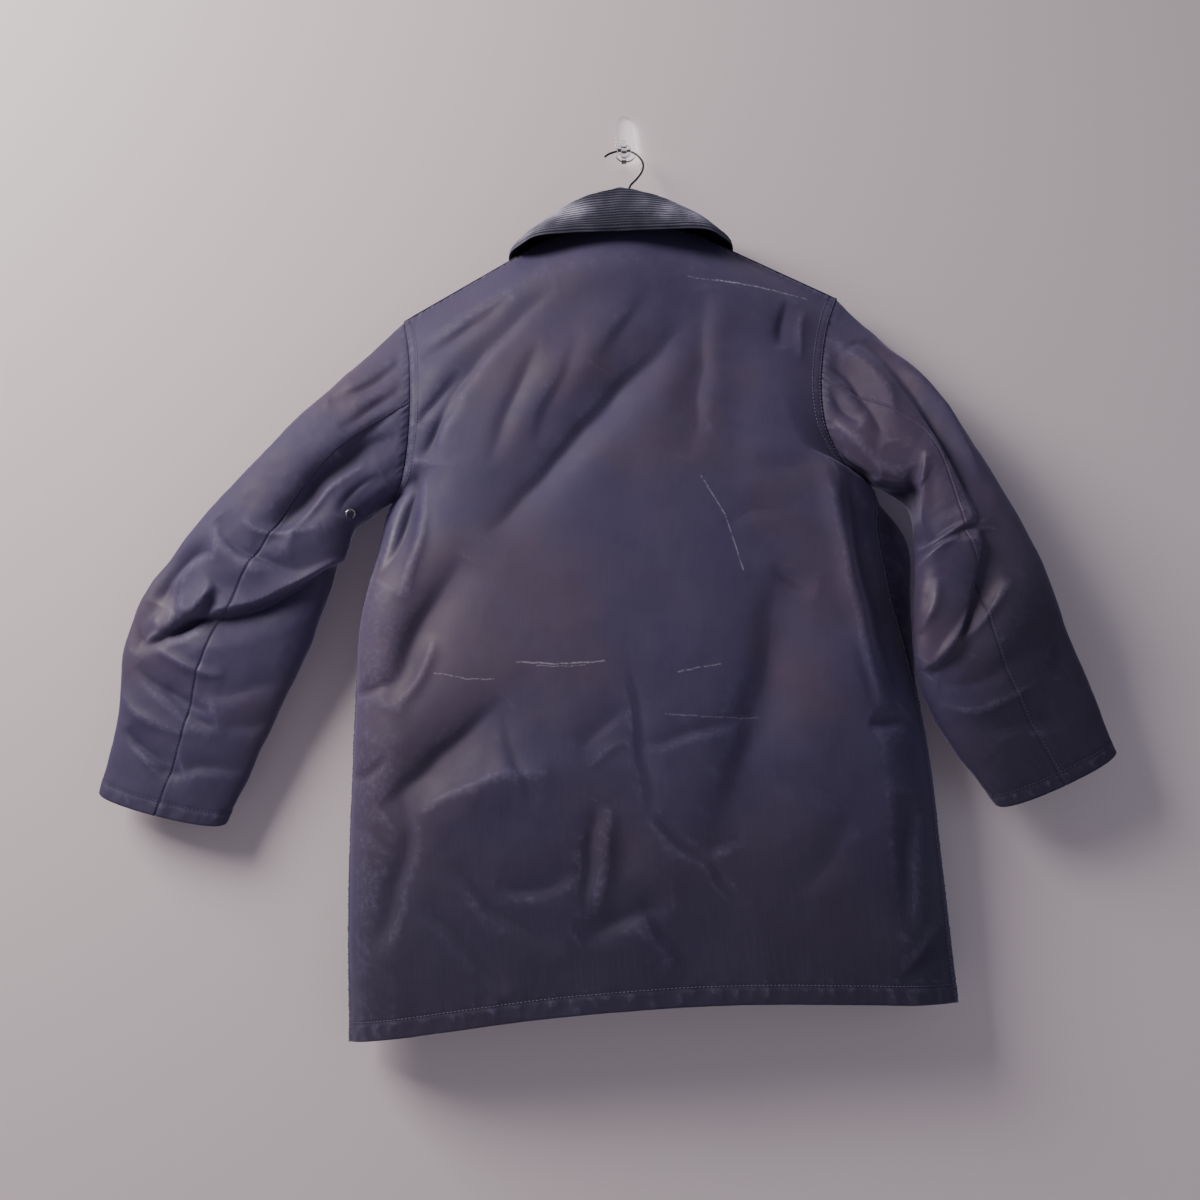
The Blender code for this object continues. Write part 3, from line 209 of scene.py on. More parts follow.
# ---- Creases, added to the fine cloth --------------------------------------------
# Each runs along a curve through three points. depth is how far it goes in
# (negative) or stands out. sharp is 1 for a crisp crease and 2 for a soft one, and
# lean widens its slope on the left of its run, or on the right if it is negative.
CRISP = 0.62              # every crease is this share of its width, as waxed cloth holds it
Crease = namedtuple("Crease", "x0 z0 x1 z1 x2 z2 width depth sharp lean")
BACK_CREASES = (
    # The long pull across the back, from the right shoulder down to the left.
    Crease(0.055, -0.282, -0.050, -0.385, -0.170, -0.520, 0.013, -0.0052, 1.4, 0.5),
    Crease(0.075, -0.240, 0.066, -0.345, 0.048, -0.440, 0.020, -0.0036, 1.7, -0.3),
    Crease(0.020, -0.235, -0.015, -0.290, -0.045, -0.330, 0.017, -0.0022, 1.8, 0.2),
    # Finger-like pleats that run down from the left shoulder.
    Crease(-0.085, -0.232, -0.190, -0.330, -0.236, -0.437, 0.012, -0.0046, 1.4, -0.4),
    Crease(-0.108, -0.300, -0.142, -0.370, -0.165, -0.440, 0.013, -0.0024, 1.7, 0.2),
    Crease(-0.060, -0.290, -0.092, -0.360, -0.110, -0.415, 0.012, -0.0018, 1.8, 0.2),
    Crease(-0.140, -0.240, -0.195, -0.275, -0.245, -0.305, 0.012, -0.0030, 1.5, 0.3),
    Crease(-0.195, -0.325, -0.228, -0.360, -0.246, -0.385, 0.008, -0.0030, 1.4, 0.2),
    Crease(-0.196, -0.356, -0.225, -0.395, -0.247, -0.422, 0.008, -0.0032, 1.4, 0.2),
    # Folds that fall from the left underarm.
    Crease(-0.246, -0.426, -0.262, -0.486, -0.292, -0.556, 0.014, -0.0085, 1.3, 0.5),
    Crease(-0.236, -0.440, -0.244, -0.510, -0.262, -0.580, 0.012, 0.0034, 1.6, 0.0),
    Crease(-0.195, -0.535, -0.250, -0.620, -0.282, -0.690, 0.014, -0.0046, 1.5, 0.4),
    Crease(-0.228, -0.620, -0.245, -0.660, -0.275, -0.700, 0.012, 0.0030, 1.6, 0.0),
    Crease(-0.318, -0.668, -0.300, -0.676, -0.270, -0.664, 0.007, -0.0036, 1.2, 0.5),
    Crease(-0.322, -0.757, -0.304, -0.762, -0.278, -0.742, 0.007, -0.0028, 1.3, 0.4),
    Crease(-0.155, -0.690, -0.225, -0.745, -0.288, -0.800, 0.013, -0.0044, 1.4, 0.4),
    # Ridges and dents over the lower left.
    Crease(-0.105, -0.768, -0.185, -0.776, -0.250, -0.808, 0.010, 0.0036, 1.3, 0.4),
    Crease(-0.268, -0.780, -0.268, -0.870, -0.308, -0.940, 0.014, -0.0044, 1.5, -0.4),
    Crease(-0.215, -0.850, -0.168, -0.905, -0.105, -0.945, 0.015, -0.0030, 1.5, 0.4),
    Crease(-0.170, -0.876, -0.130, -0.884, -0.082, -0.862, 0.010, -0.0022, 1.4, 0.5),
    Crease(-0.160, -0.700, -0.150, -0.750, -0.120, -0.800, 0.011, -0.0018, 1.5, 0.3),
    Crease(-0.250, -0.890, -0.200, -0.940, -0.160, -0.985, 0.014, -0.0024, 1.6, 0.3),
    # The creases at the seat and the centre.
    Crease(-0.063, -0.798, -0.070, -0.855, -0.077, -0.915, 0.007, -0.0034, 1.2, -0.6),
    Crease(-0.050, -0.800, -0.054, -0.850, -0.064, -0.905, 0.008, 0.0016, 1.4, 0.0),
    Crease(-0.028, -0.650, -0.016, -0.745, -0.006, -0.822, 0.009, -0.0020, 1.3, 0.4),
    Crease(-0.006, -0.815, 0.018, -0.845, 0.050, -0.866, 0.008, -0.0020, 1.3, 0.4),
    Crease(-0.016, -0.742, 0.040, -0.733, 0.105, -0.712, 0.006, -0.0018, 1.3, 0.5),
    Crease(-0.085, -0.740, -0.060, -0.728, -0.030, -0.700, 0.010, -0.0014, 1.5, 0.4),
    Crease(-0.075, -0.765, -0.052, -0.750, -0.022, -0.740, 0.008, 0.0010, 1.5, 0.0),
    Crease(0.048, -0.860, 0.058, -0.846, 0.086, -0.842, 0.006, -0.0016, 1.2, 0.6),
    Crease(0.046, -0.855, 0.058, -0.885, 0.080, -0.912, 0.008, -0.0016, 1.3, 0.4),
    Crease(-0.085, -0.940, -0.040, -0.918, 0.010, -0.905, 0.014, -0.0030, 1.6, 0.3),
    Crease(-0.035, -0.880, 0.000, -0.930, 0.035, -0.975, 0.018, -0.0026, 1.8, 0.3),
    # The broad soft trough right of the centre.
    Crease(0.140, -0.560, 0.108, -0.700, 0.058, -0.838, 0.026, -0.0052, 1.8, 0.4),
    Crease(0.128, -0.555, 0.150, -0.580, 0.175, -0.590, 0.012, -0.0020, 1.6, 0.3),
    # The right side, by the sleeve, turns in behind the back's rolled edge.
    Crease(0.222, -0.452, 0.243, -0.580, 0.266, -0.720, 0.015, -0.0075, 1.6, -0.4),
    Crease(0.196, -0.440, 0.216, -0.580, 0.240, -0.720, 0.018, 0.0040, 1.8, 0.0),
    Crease(0.170, -0.250, 0.160, -0.282, 0.158, -0.312, 0.009, -0.0034, 1.3, 0.6),
    Crease(0.190, -0.262, 0.183, -0.290, 0.178, -0.330, 0.009, 0.0016, 1.5, 0.0),
    Crease(0.222, -0.728, 0.245, -0.732, 0.268, -0.722, 0.008, -0.0040, 1.2, 0.6),
    Crease(0.212, -0.640, 0.225, -0.690, 0.232, -0.735, 0.013, -0.0024, 1.6, 0.2),
    Crease(0.258, -0.800, 0.256, -0.870, 0.244, -0.945, 0.013, -0.0040, 1.5, -0.4),
    Crease(0.294, -0.940, 0.270, -0.962, 0.236, -0.992, 0.012, -0.0034, 1.5, 0.4),
    Crease(0.120, -0.780, 0.180, -0.800, 0.220, -0.840, 0.016, -0.0016, 1.7, 0.3),
    Crease(0.130, -0.900, 0.175, -0.860, 0.200, -0.810, 0.016, -0.0018, 1.7, 0.3),
    Crease(0.080, -0.520, 0.120, -0.500, 0.160, -0.505, 0.010, -0.0010, 1.6, 0.3),
    Crease(0.120, -0.440, 0.150, -0.450, 0.185, -0.445, 0.010, -0.0010, 1.6, 0.3),
)
LEFT_SLEEVE_CREASES = (
    # Pulls that spread from the armhole.
    Crease(-0.262, -0.300, -0.300, -0.330, -0.345, -0.350, 0.010, -0.0036, 1.5, 0.3),
    Crease(-0.260, -0.330, -0.295, -0.362, -0.330, -0.385, 0.010, -0.0030, 1.5, 0.3),
    Crease(-0.262, -0.365, -0.300, -0.392, -0.330, -0.415, 0.010, -0.0034, 1.4, 0.4),
    Crease(-0.266, -0.392, -0.345, -0.436, -0.405, -0.508, 0.014, -0.0080, 1.4, 0.5),
    Crease(-0.300, -0.425, -0.352, -0.462, -0.392, -0.518, 0.010, 0.0040, 1.5, 0.0),
    Crease(-0.285, -0.440, -0.315, -0.455, -0.330, -0.480, 0.010, -0.0040, 1.4, 0.4),
    # The lens over the elbow.
    Crease(-0.455, -0.500, -0.395, -0.532, -0.325, -0.508, 0.009, -0.0064, 1.2, 0.6),
    Crease(-0.440, -0.482, -0.400, -0.500, -0.350, -0.492, 0.011, 0.0036, 1.5, 0.0),
    Crease(-0.470, -0.480, -0.455, -0.500, -0.430, -0.530, 0.010, -0.0030, 1.4, 0.4),
    # Hollows on the outside of the elbow.
    Crease(-0.536, -0.566, -0.508, -0.524, -0.470, -0.514, 0.011, -0.0080, 1.3, 0.4),
    Crease(-0.540, -0.592, -0.500, -0.592, -0.472, -0.560, 0.009, -0.0080, 1.2, 0.5),
    Crease(-0.500, -0.574, -0.484, -0.562, -0.472, -0.545, 0.007, 0.0050, 1.3, 0.0),
    Crease(-0.560, -0.620, -0.548, -0.600, -0.536, -0.590, 0.008, -0.0050, 1.3, 0.4),
    # Ripples down the forearm.
    Crease(-0.560, -0.632, -0.520, -0.668, -0.478, -0.684, 0.009, -0.0046, 1.3, 0.5),
    Crease(-0.535, -0.616, -0.500, -0.640, -0.462, -0.646, 0.010, 0.0030, 1.5, 0.0),
    Crease(-0.530, -0.660, -0.500, -0.690, -0.470, -0.700, 0.008, -0.0030, 1.3, 0.4),
    Crease(-0.575, -0.655, -0.550, -0.690, -0.500, -0.706, 0.010, 0.0026, 1.5, 0.0),
    Crease(-0.572, -0.698, -0.535, -0.742, -0.508, -0.752, 0.009, -0.0046, 1.3, 0.5),
    Crease(-0.560, -0.724, -0.540, -0.742, -0.515, -0.745, 0.008, 0.0022, 1.5, 0.0),
    Crease(-0.500, -0.660, -0.450, -0.668, -0.400, -0.655, 0.013, -0.0020, 1.6, 0.3),
    Crease(-0.520, -0.752, -0.480, -0.748, -0.440, -0.752, 0.009, -0.0022, 1.5, 0.4),
    Crease(-0.460, -0.700, -0.430, -0.705, -0.405, -0.690, 0.012, -0.0016, 1.6, 0.3),
)
RIGHT_SLEEVE_CREASES = (
    # Long rolls from the shoulder to the elbow.
    Crease(0.240, -0.300, 0.300, -0.392, 0.345, -0.505, 0.013, -0.0060, 1.3, -0.5),
    Crease(0.262, -0.290, 0.325, -0.385, 0.360, -0.480, 0.014, 0.0040, 1.6, 0.0),
    Crease(0.205, -0.332, 0.238, -0.366, 0.256, -0.430, 0.010, -0.0060, 1.3, 0.4),
    Crease(0.212, -0.300, 0.255, -0.340, 0.276, -0.400, 0.012, 0.0034, 1.6, 0.0),
    Crease(0.210, -0.360, 0.222, -0.390, 0.236, -0.405, 0.008, -0.0040, 1.3, 0.4),
    Crease(0.212, -0.402, 0.250, -0.436, 0.292, -0.468, 0.011, 0.0060, 1.5, 0.0),
    Crease(0.206, -0.422, 0.235, -0.448, 0.262, -0.452, 0.008, -0.0060, 1.2, 0.5),
    # Crushed folds at the inside of the elbow.
    Crease(0.288, -0.456, 0.284, -0.500, 0.280, -0.545, 0.007, -0.0060, 1.2, 0.6),
    Crease(0.300, -0.440, 0.300, -0.490, 0.296, -0.530, 0.007, 0.0050, 1.4, 0.0),
    Crease(0.280, -0.548, 0.305, -0.528, 0.342, -0.514, 0.007, -0.0072, 1.1, 0.7),
    Crease(0.285, -0.575, 0.308, -0.548, 0.330, -0.540, 0.009, 0.0050, 1.4, 0.0),
    # The deep V below it and the ridges beside it.
    Crease(0.342, -0.545, 0.326, -0.605, 0.290, -0.664, 0.011, -0.0090, 1.2, -0.5),
    Crease(0.384, -0.584, 0.350, -0.622, 0.292, -0.668, 0.014, 0.0050, 1.5, 0.0),
    Crease(0.305, -0.580, 0.298, -0.610, 0.285, -0.640, 0.010, 0.0036, 1.6, 0.0),
    Crease(0.300, -0.690, 0.345, -0.690, 0.395, -0.660, 0.013, -0.0030, 1.5, 0.4),
    Crease(0.300, -0.712, 0.350, -0.716, 0.410, -0.690, 0.012, 0.0022, 1.6, 0.0),
    Crease(0.420, -0.610, 0.432, -0.650, 0.430, -0.690, 0.014, -0.0022, 1.6, 0.3),
    Crease(0.345, -0.745, 0.385, -0.735, 0.440, -0.740, 0.012, -0.0020, 1.6, 0.3),
    Crease(0.345, -0.345, 0.385, -0.420, 0.410, -0.480, 0.014, -0.0030, 1.6, 0.3),
)
FRONT_CREASES = (
    Crease(-0.250, -0.330, -0.200, -0.400, -0.150, -0.480, 0.016, -0.0030, 1.5, 0.4),
    Crease(-0.245, -0.400, -0.220, -0.470, -0.180, -0.540, 0.014, -0.0026, 1.5, 0.3),
    Crease(-0.290, -0.540, -0.240, -0.600, -0.170, -0.640, 0.016, -0.0028, 1.5, 0.4),
    Crease(-0.300, -0.660, -0.240, -0.690, -0.160, -0.690, 0.014, -0.0024, 1.5, 0.4),
    Crease(-0.300, -0.800, -0.230, -0.830, -0.150, -0.900, 0.018, -0.0030, 1.5, 0.3),
    Crease(-0.200, -0.700, -0.180, -0.800, -0.190, -0.900, 0.016, -0.0024, 1.6, 0.4),
    Crease(-0.120, -0.560, -0.110, -0.680, -0.130, -0.800, 0.018, -0.0024, 1.6, 0.3),
    Crease(0.200, -0.330, 0.160, -0.400, 0.130, -0.490, 0.015, -0.0030, 1.5, 0.4),
    Crease(0.205, -0.420, 0.180, -0.480, 0.150, -0.540, 0.014, -0.0026, 1.5, 0.3),
    Crease(0.250, -0.560, 0.200, -0.600, 0.140, -0.610, 0.014, -0.0026, 1.5, 0.4),
    Crease(0.270, -0.700, 0.210, -0.740, 0.150, -0.820, 0.017, -0.0030, 1.5, 0.3),
    Crease(0.280, -0.860, 0.220, -0.880, 0.160, -0.960, 0.017, -0.0026, 1.5, 0.4),
    Crease(0.120, -0.640, 0.110, -0.760, 0.130, -0.880, 0.018, -0.0022, 1.6, 0.3),
)

# A lip is where cloth puffs up and hangs over the cloth beside it. reach is how wide
# the puff is, rise how far it stands out along its line, drop how far the cloth beneath
# goes in, and hang how far the lip slides over it. The puff lies to the left of its run.
Lip = namedtuple("Lip", "x0 z0 x1 z1 x2 z2 reach rise drop hang")
LEFT_SLEEVE_LIPS = (
    Lip(-0.515, -0.572, -0.420, -0.564, -0.300, -0.496, 0.050, 0.0130, 0.0110, 0.0110),
    Lip(-0.556, -0.604, -0.515, -0.588, -0.470, -0.548, 0.024, 0.0070, 0.0070, 0.0060),
)
RIGHT_SLEEVE_LIPS = (
    Lip(0.345, -0.524, 0.302, -0.400, 0.246, -0.305, 0.040, 0.0060, 0.0060, 0.0050),
    Lip(0.286, -0.676, 0.330, -0.612, 0.348, -0.530, 0.034, 0.0080, 0.0110, 0.0080),
    Lip(0.274, -0.556, 0.306, -0.536, 0.350, -0.514, 0.022, 0.0060, 0.0060, 0.0060),
    Lip(0.206, -0.425, 0.246, -0.452, 0.300, -0.478, 0.026, 0.0060, 0.0080, 0.0070),
)

# Where rubbing has polished the wax: a glossy spot with a soft edge.
Polish = namedtuple("Polish", "x z wide tall amount")
BACK_POLISH = (
    Polish(-0.285, -0.500, 0.025, 0.050, 0.7),
    Polish(0.236, -0.500, 0.022, 0.040, 0.7),
    Polish(-0.230, -0.300, 0.050, 0.060, 0.18),
)
SLEEVE_POLISH = (
    Polish(-0.530, -0.640, 0.030, 0.022, 0.80),
    Polish(-0.485, -0.625, 0.018, 0.020, 0.64),
    Polish(-0.470, -0.690, 0.016, 0.016, 0.64),
    Polish(-0.560, -0.700, 0.018, 0.022, 0.64),
    Polish(-0.530, -0.580, 0.022, 0.016, 0.72),
    Polish(0.292, -0.610, 0.024, 0.040, 0.80),
    Polish(0.310, -0.565, 0.018, 0.020, 0.48),
    Polish(0.295, -0.410, 0.020, 0.040, 0.32),
    Polish(0.350, -0.450, 0.018, 0.060, 0.32),
)
COLLAR_RUBBED = (
    Polish(-0.080, -0.140, 0.036, 0.014, 1.00),
    Polish(0.034, -0.138, 0.024, 0.016, 0.75),
    Polish(0.078, -0.150, 0.030, 0.018, 1.00),
    Polish(-0.115, -0.160, 0.018, 0.014, 0.70),
)

# Chalky rub marks on the back: a thin line through three points.
Mark = namedtuple("Mark", "x0 z0 x1 z1 x2 z2 width amount")
MARKS = (
    Mark(-0.228, -0.660, -0.195, -0.668, -0.165, -0.670, 0.0011, 0.55),
    Mark(-0.142, -0.653, -0.100, -0.657, -0.050, -0.656, 0.0013, 0.75),
    Mark(-0.120, -0.658, -0.095, -0.660, -0.070, -0.659, 0.0009, 0.50),
    Mark(0.026, -0.670, 0.046, -0.667, 0.070, -0.664, 0.0012, 0.60),
    Mark(0.061, -0.461, 0.084, -0.504, 0.100, -0.565, 0.0012, 0.65),
    Mark(0.090, -0.229, 0.150, -0.236, 0.196, -0.244, 0.0016, 0.85),
    Mark(0.060, -0.226, 0.090, -0.229, 0.120, -0.233, 0.0010, 0.50),
    Mark(0.011, -0.713, 0.060, -0.718, 0.108, -0.720, 0.0010, 0.35),
)

# ---- Cuts of the cloth, laid flat; none are listed or used ------------------------
Cut = namedtuple("Cut", "width length area")


# ---- Curves and sections ----------------------------------------------------------
def spline(knots, values, at):
    """Smooth curve through the values at the knots, read at one or many places."""
    knots = np.asarray(knots, float)
    values = np.asarray(values, float)
    at = np.clip(np.asarray(at, float), knots[0], knots[-1])
    slopes = np.gradient(values, knots)
    i = np.clip(np.searchsorted(knots, at, side="right") - 1, 0, len(knots) - 2)
    span = knots[i + 1] - knots[i]
    f = (at - knots[i]) / span
    start = values[i] * (1 + 2 * f) * (1 - f) ** 2 + slopes[i] * span * f * (1 - f) ** 2
    end = values[i + 1] * f * f * (3 - 2 * f) - slopes[i + 1] * span * f * f * (1 - f)
    return start + end


def mixed_spline(knots, rows, at):
    """As spline, for points that differ from place to place."""
    rows = np.stack(rows)
    knots = np.asarray(knots, float)
    slopes = np.gradient(rows, knots, axis=0)
    at = np.broadcast_to(at, rows.shape[1:])
    i = np.clip(np.searchsorted(knots, at, side="right") - 1, 0, len(knots) - 2)
    span = knots[i + 1] - knots[i]
    f = (at - knots[i]) / span
    low, high = (np.take_along_axis(rows, (i + k)[None], 0)[0] for k in (0, 1))
    slope_low, slope_high = (np.take_along_axis(slopes, (i + k)[None], 0)[0] for k in (0, 1))
    start = low * (1 + 2 * f) * (1 - f) ** 2 + slope_low * span * f * (1 - f) ** 2
    end = high * f * f * (3 - 2 * f) - slope_high * span * f * f * (1 - f)
    return start + end


def read(table, name, at):
    """Read one named column of a table at the given place along its first column."""
    return spline([row[0] for row in table], [getattr(row, name) for row in table], at)


def smooth(f):
    """Ease from 0 to 1 as f goes from 0 to 1."""
    f = np.clip(f, 0.0, 1.0)
    return f * f * (3 - 2 * f)


def runs(*stops):
    """Places along a panel: evenly spaced runs between (place, segments) stops."""
    places = [stops[0][0]]
    for (start, _), (end, count) in zip(stops, stops[1:]):
        places += [start + (end - start) * (k + 1) / count for k in range(count)]
    return np.array(places)


def neck_share(u):
    """0 at both ends of the neckline, 1 at its middle, 0 on the shoulders."""
    return np.sin(math.pi * np.clip((u - NECK_LEFT) / (NECK_RIGHT - NECK_LEFT), 0.0, 1.0))


def shoulder_rise(u, layer):
    """Height of the top edge over the straight line between the shoulder points."""
    slope = RIGHT_EDGE[0].z - LEFT_EDGE[0].z
    line = LEFT_EDGE[0].z + slope * u
    on_shoulder = np.clip(np.minimum(u / NECK_LEFT, (1 - u) / (1 - NECK_RIGHT)), 0.0, 1.0)
    neck_line = LEFT_EDGE[0].z + slope * np.where(u < 0.5, NECK_LEFT, NECK_RIGHT)
    rise = on_shoulder * (NECK_POINT_Z - neck_line)
    middle_z = BACK_NECK_Z if layer == "back" else FRONT_NECK_Z
    return rise + (middle_z - line - rise) * neck_share(u)


def fold_height(folds, x, z):
    """Sum of the soft troughs and ridges at the places (x, z)."""
    total = np.zeros_like(x)
    for fold in folds:
        nearest = np.full_like(x, 1e9)
        place = np.zeros_like(x)
        legs = ((fold.x0, fold.z0, fold.x1, fold.z1), (fold.x1, fold.z1, fold.x2, fold.z2))
        for k, (xa, za, xb, zb) in enumerate(legs):
            along_x, along_z = xb - xa, zb - za
            f = ((x - xa) * along_x + (z - za) * along_z) / (along_x ** 2 + along_z ** 2)
            f = np.clip(f, 0.0, 1.0)
            away = np.hypot(x - xa - f * along_x, z - za - f * along_z)
            place = np.where(away < nearest, (k + f) / 2, place)
            nearest = np.minimum(nearest, away)
        taper = 0.35 + 0.65 * np.sin(math.pi * place)
        total = total + fold.depth * taper * np.exp(-(nearest / fold.width) ** 2)
    return total


def edge_y(edge, layer, v):
    """Depth of one layer's side edge; below the armhole both layers share the seam."""
    own = read(edge, layer + "_y", v)
    seam = (read(edge, "back_y", v) + read(edge, "front_y", v)) / 2
    return np.where(v < ARMHOLE, own, seam)


def body_point(u, v, layer):
    """Body shell at u across (left to right) and v down (shoulder to hem)."""
    left_x, right_x = read(LEFT_EDGE, "x", v), read(RIGHT_EDGE, "x", v)
    left_z, right_z = read(LEFT_EDGE, "z", v), read(RIGHT_EDGE, "z", v)
    left_y, right_y = edge_y(LEFT_EDGE, layer, v), edge_y(RIGHT_EDGE, layer, v)
    from_left = np.clip(u / FLANK_LEFT, 0.0, 1.0)
    from_right = np.clip((1 - u) / FLANK_RIGHT, 0.0, 1.0)
    x = left_x + (right_x - left_x) * u
    x = x - read(LEFT_EDGE, "roll_" + layer, v) * np.sin(math.pi * from_left)
    x = x + read(RIGHT_EDGE, "roll_" + layer, v) * np.sin(math.pi * from_right)
    z = left_z + (right_z - left_z) * u + shoulder_rise(u, layer) * (1 - v) ** 2
    fade = np.clip(1 - v / NECK_DEPTH, 0.0, 1.0) ** 2
    drop = FRONT_HEM_DROP if layer == "front" else 0.0
    z = z + (HEM_RISE - drop) * np.sin(math.pi * u) * smooth((v - 0.5) / 0.5)
    if layer == "back":
        side_left, side_right = read(DEPTHS, "back_left", v), read(DEPTHS, "back_right", v)
        middle = read(DEPTHS, "back_mid", v)
        neck = -BACK_NECK_BULGE * neck_share(u) * fade
    else:
        side_left = side_right = read(DEPTHS, "front_side", v)
        middle = read(DEPTHS, "front_mid", v)
        neck = FRONT_NECK_BULGE * neck_share(u) * fade
    side = side_left + (side_right - side_left) * u
    y = side + (middle - side) * np.sin(math.pi * u) + neck
    y = y + (left_y - side_left) * (1 - from_left) ** LEFT_FLANK_TURN
    y = y + (right_y - side_right) * (1 - from_right) ** RIGHT_FLANK_TURN
    if layer == "back":
        edge_fade = smooth(np.minimum(from_left, from_right)) * smooth(v / 0.05) * smooth((1 - v) / 0.04)
        y = y - fold_height(BACK_FOLDS, x, z) * edge_fade
    return np.stack([x, y, z], axis=-1)


def armhole_point(side, around):
    """Armhole loop: 0 at the shoulder, down the back to 0.5, up the front to 1."""
    edge = LEFT_EDGE if side == "left" else RIGHT_EDGE
    level = ARMHOLE * (1 - np.abs(1 - 2 * around))
    y = np.where(around <= 0.5, read(edge, "back_y", level), read(edge, "front_y", level))
    return np.stack([read(edge, "x", level), y, read(edge, "z", level)], axis=-1)


def tube_point(table, around, along):
    """Flattened tube of a sleeve, before it is fitted to the armhole."""
    angle = 2 * math.pi * around
    across = np.sign(np.cos(angle)) * np.abs(np.cos(angle)) ** 0.9
    out = np.sign(np.sin(angle)) * np.abs(np.sin(angle)) ** 0.8
    outer_x, outer_z = read(table, "outer_x", along), read(table, "outer_z", along)
    inner_x, inner_z = read(table, "inner_x", along), read(table, "inner_z", along)
    half_x, half_z = (outer_x - inner_x) / 2, (outer_z - inner_z) / 2
    length = np.hypot(half_x, half_z)
    turn = 1.0 if table[0].outer_x < table[-1].outer_x else -1.0
    lift = CUFF_LIFT * smooth((along - 0.75) / 0.25) * out * turn
    x = (outer_x + inner_x) / 2 + half_x * across + lift * half_z / length
    z = (outer_z + inner_z) / 2 + half_z * across - lift * half_x / length
    y = read(table, "mid_y", along) - read(table, "depth", along) / 2 * out
    return np.stack([x, y, z], axis=-1)


def sleeve_point(side, around, along):
    """Sleeve shell: around the tube and along it from the armhole to the cuff."""
    table = LEFT_SLEEVE if side == "left" else RIGHT_SLEEVE
    folds = LEFT_SLEEVE_FOLDS if side == "left" else RIGHT_SLEEVE_FOLDS
    around = np.mod(around, 1.0)
    point = tube_point(table, around, along)
    fit = armhole_point(side, around) - tube_point(table, around, np.zeros_like(along))
    point = point + fit * (1 - smooth(along / ARMHOLE_FADE))[..., None]
    outward = np.clip(np.sin(2 * math.pi * around), 0.0, 1.0)
    height = fold_height(folds, point[..., 0], point[..., 2]) * outward * smooth(along / 0.08)
    point[..., 1] = point[..., 1] - height
    return point


def neckline(turn):
    """Neckline of the body at a collar turn, from the left front round to the right."""
    side, far = np.sign(turn), np.abs(turn)
    on_back = np.clip(far * 2, 0, 1) * NECK_HALF
    on_front = NECK_HALF + (COLLAR_END - NECK_HALF) * np.clip(far * 2 - 1, 0, 1)
    level = np.zeros_like(far)
    back = body_point(MIDDLE + side * on_back, level, "back")
    front = body_point(MIDDLE + side * on_front, level, "front")
    point = np.where((far <= 0.5)[..., None], back, front)
    point[..., 2] += STAND_LIFT
    return point


def collar_point(turn, step):
    """Collar sheet: turn from the left front end (-1) round to the right one (1),
    step from the neck seam over the roll to the edge of the fall."""
    side, far = np.sign(turn), np.abs(turn)
    seam = neckline(turn)
    columns = {name: read(COLLAR, name, far) for name in Station._fields[1:]}
    roll = np.stack([CENTRE_X + side * columns["roll_x"], columns["roll_y"], columns["roll_z"]], axis=-1)
    edge = np.stack([CENTRE_X + side * columns["edge_x"], columns["edge_y"], columns["edge_z"]], axis=-1)
    outward = edge - roll
    outward[..., 2] = 0.0
    outward = outward / np.maximum(np.linalg.norm(outward, axis=-1, keepdims=True), 1e-6)
    up = np.array([0.0, 0.0, 0.001])
    rows = (
        seam,
        seam * 0.45 + roll * 0.55,
        roll - up,
        roll + outward * ROLL_WIDTH - up,
        (roll + edge) / 2 + outward * FALL_CROWN + 2 * up,
        edge,
    )
    return mixed_spline((0.0, 0.20, STAND_SHARE, 0.44, 0.70, 1.0), rows, step[..., None])


# ---- Fine relief ------------------------------------------------------------------
def ripple(across, down, seed):
    """Smooth random waves, about one hump to a unit, from -1 to 1."""
    cells = 64
    turns = np.random.default_rng(seed).uniform(0.0, 2 * math.pi, (cells, cells))
    i, j = np.floor(across).astype(int), np.floor(down).astype(int)
    fx, fy = across - i, down - j

    def corner(di, dj):
        angle = turns[(i + di) % cells, (j + dj) % cells]
        return np.cos(angle) * (fx - di) + np.sin(angle) * (fy - dj)

    ease_x, ease_y = smooth(fx), smooth(fy)
    low = corner(0, 0) * (1 - ease_x) + corner(1, 0) * ease_x
    high = corner(0, 1) * (1 - ease_x) + corner(1, 1) * ease_x
    return 1.5 * (low * (1 - ease_y) + high * ease_y)


def curve_through(row, count=18):
    """Points of the smooth curve through a row's three points."""
    t = np.linspace(0.0, 1.0, count)
    weights = (2 * (t - 0.5) * (t - 1), -4 * t * (t - 1), 2 * t * (t - 0.5))
    x = weights[0] * row.x0 + weights[1] * row.x1 + weights[2] * row.x2
    z = weights[0] * row.z0 + weights[1] * row.z1 + weights[2] * row.z2
    return x, z


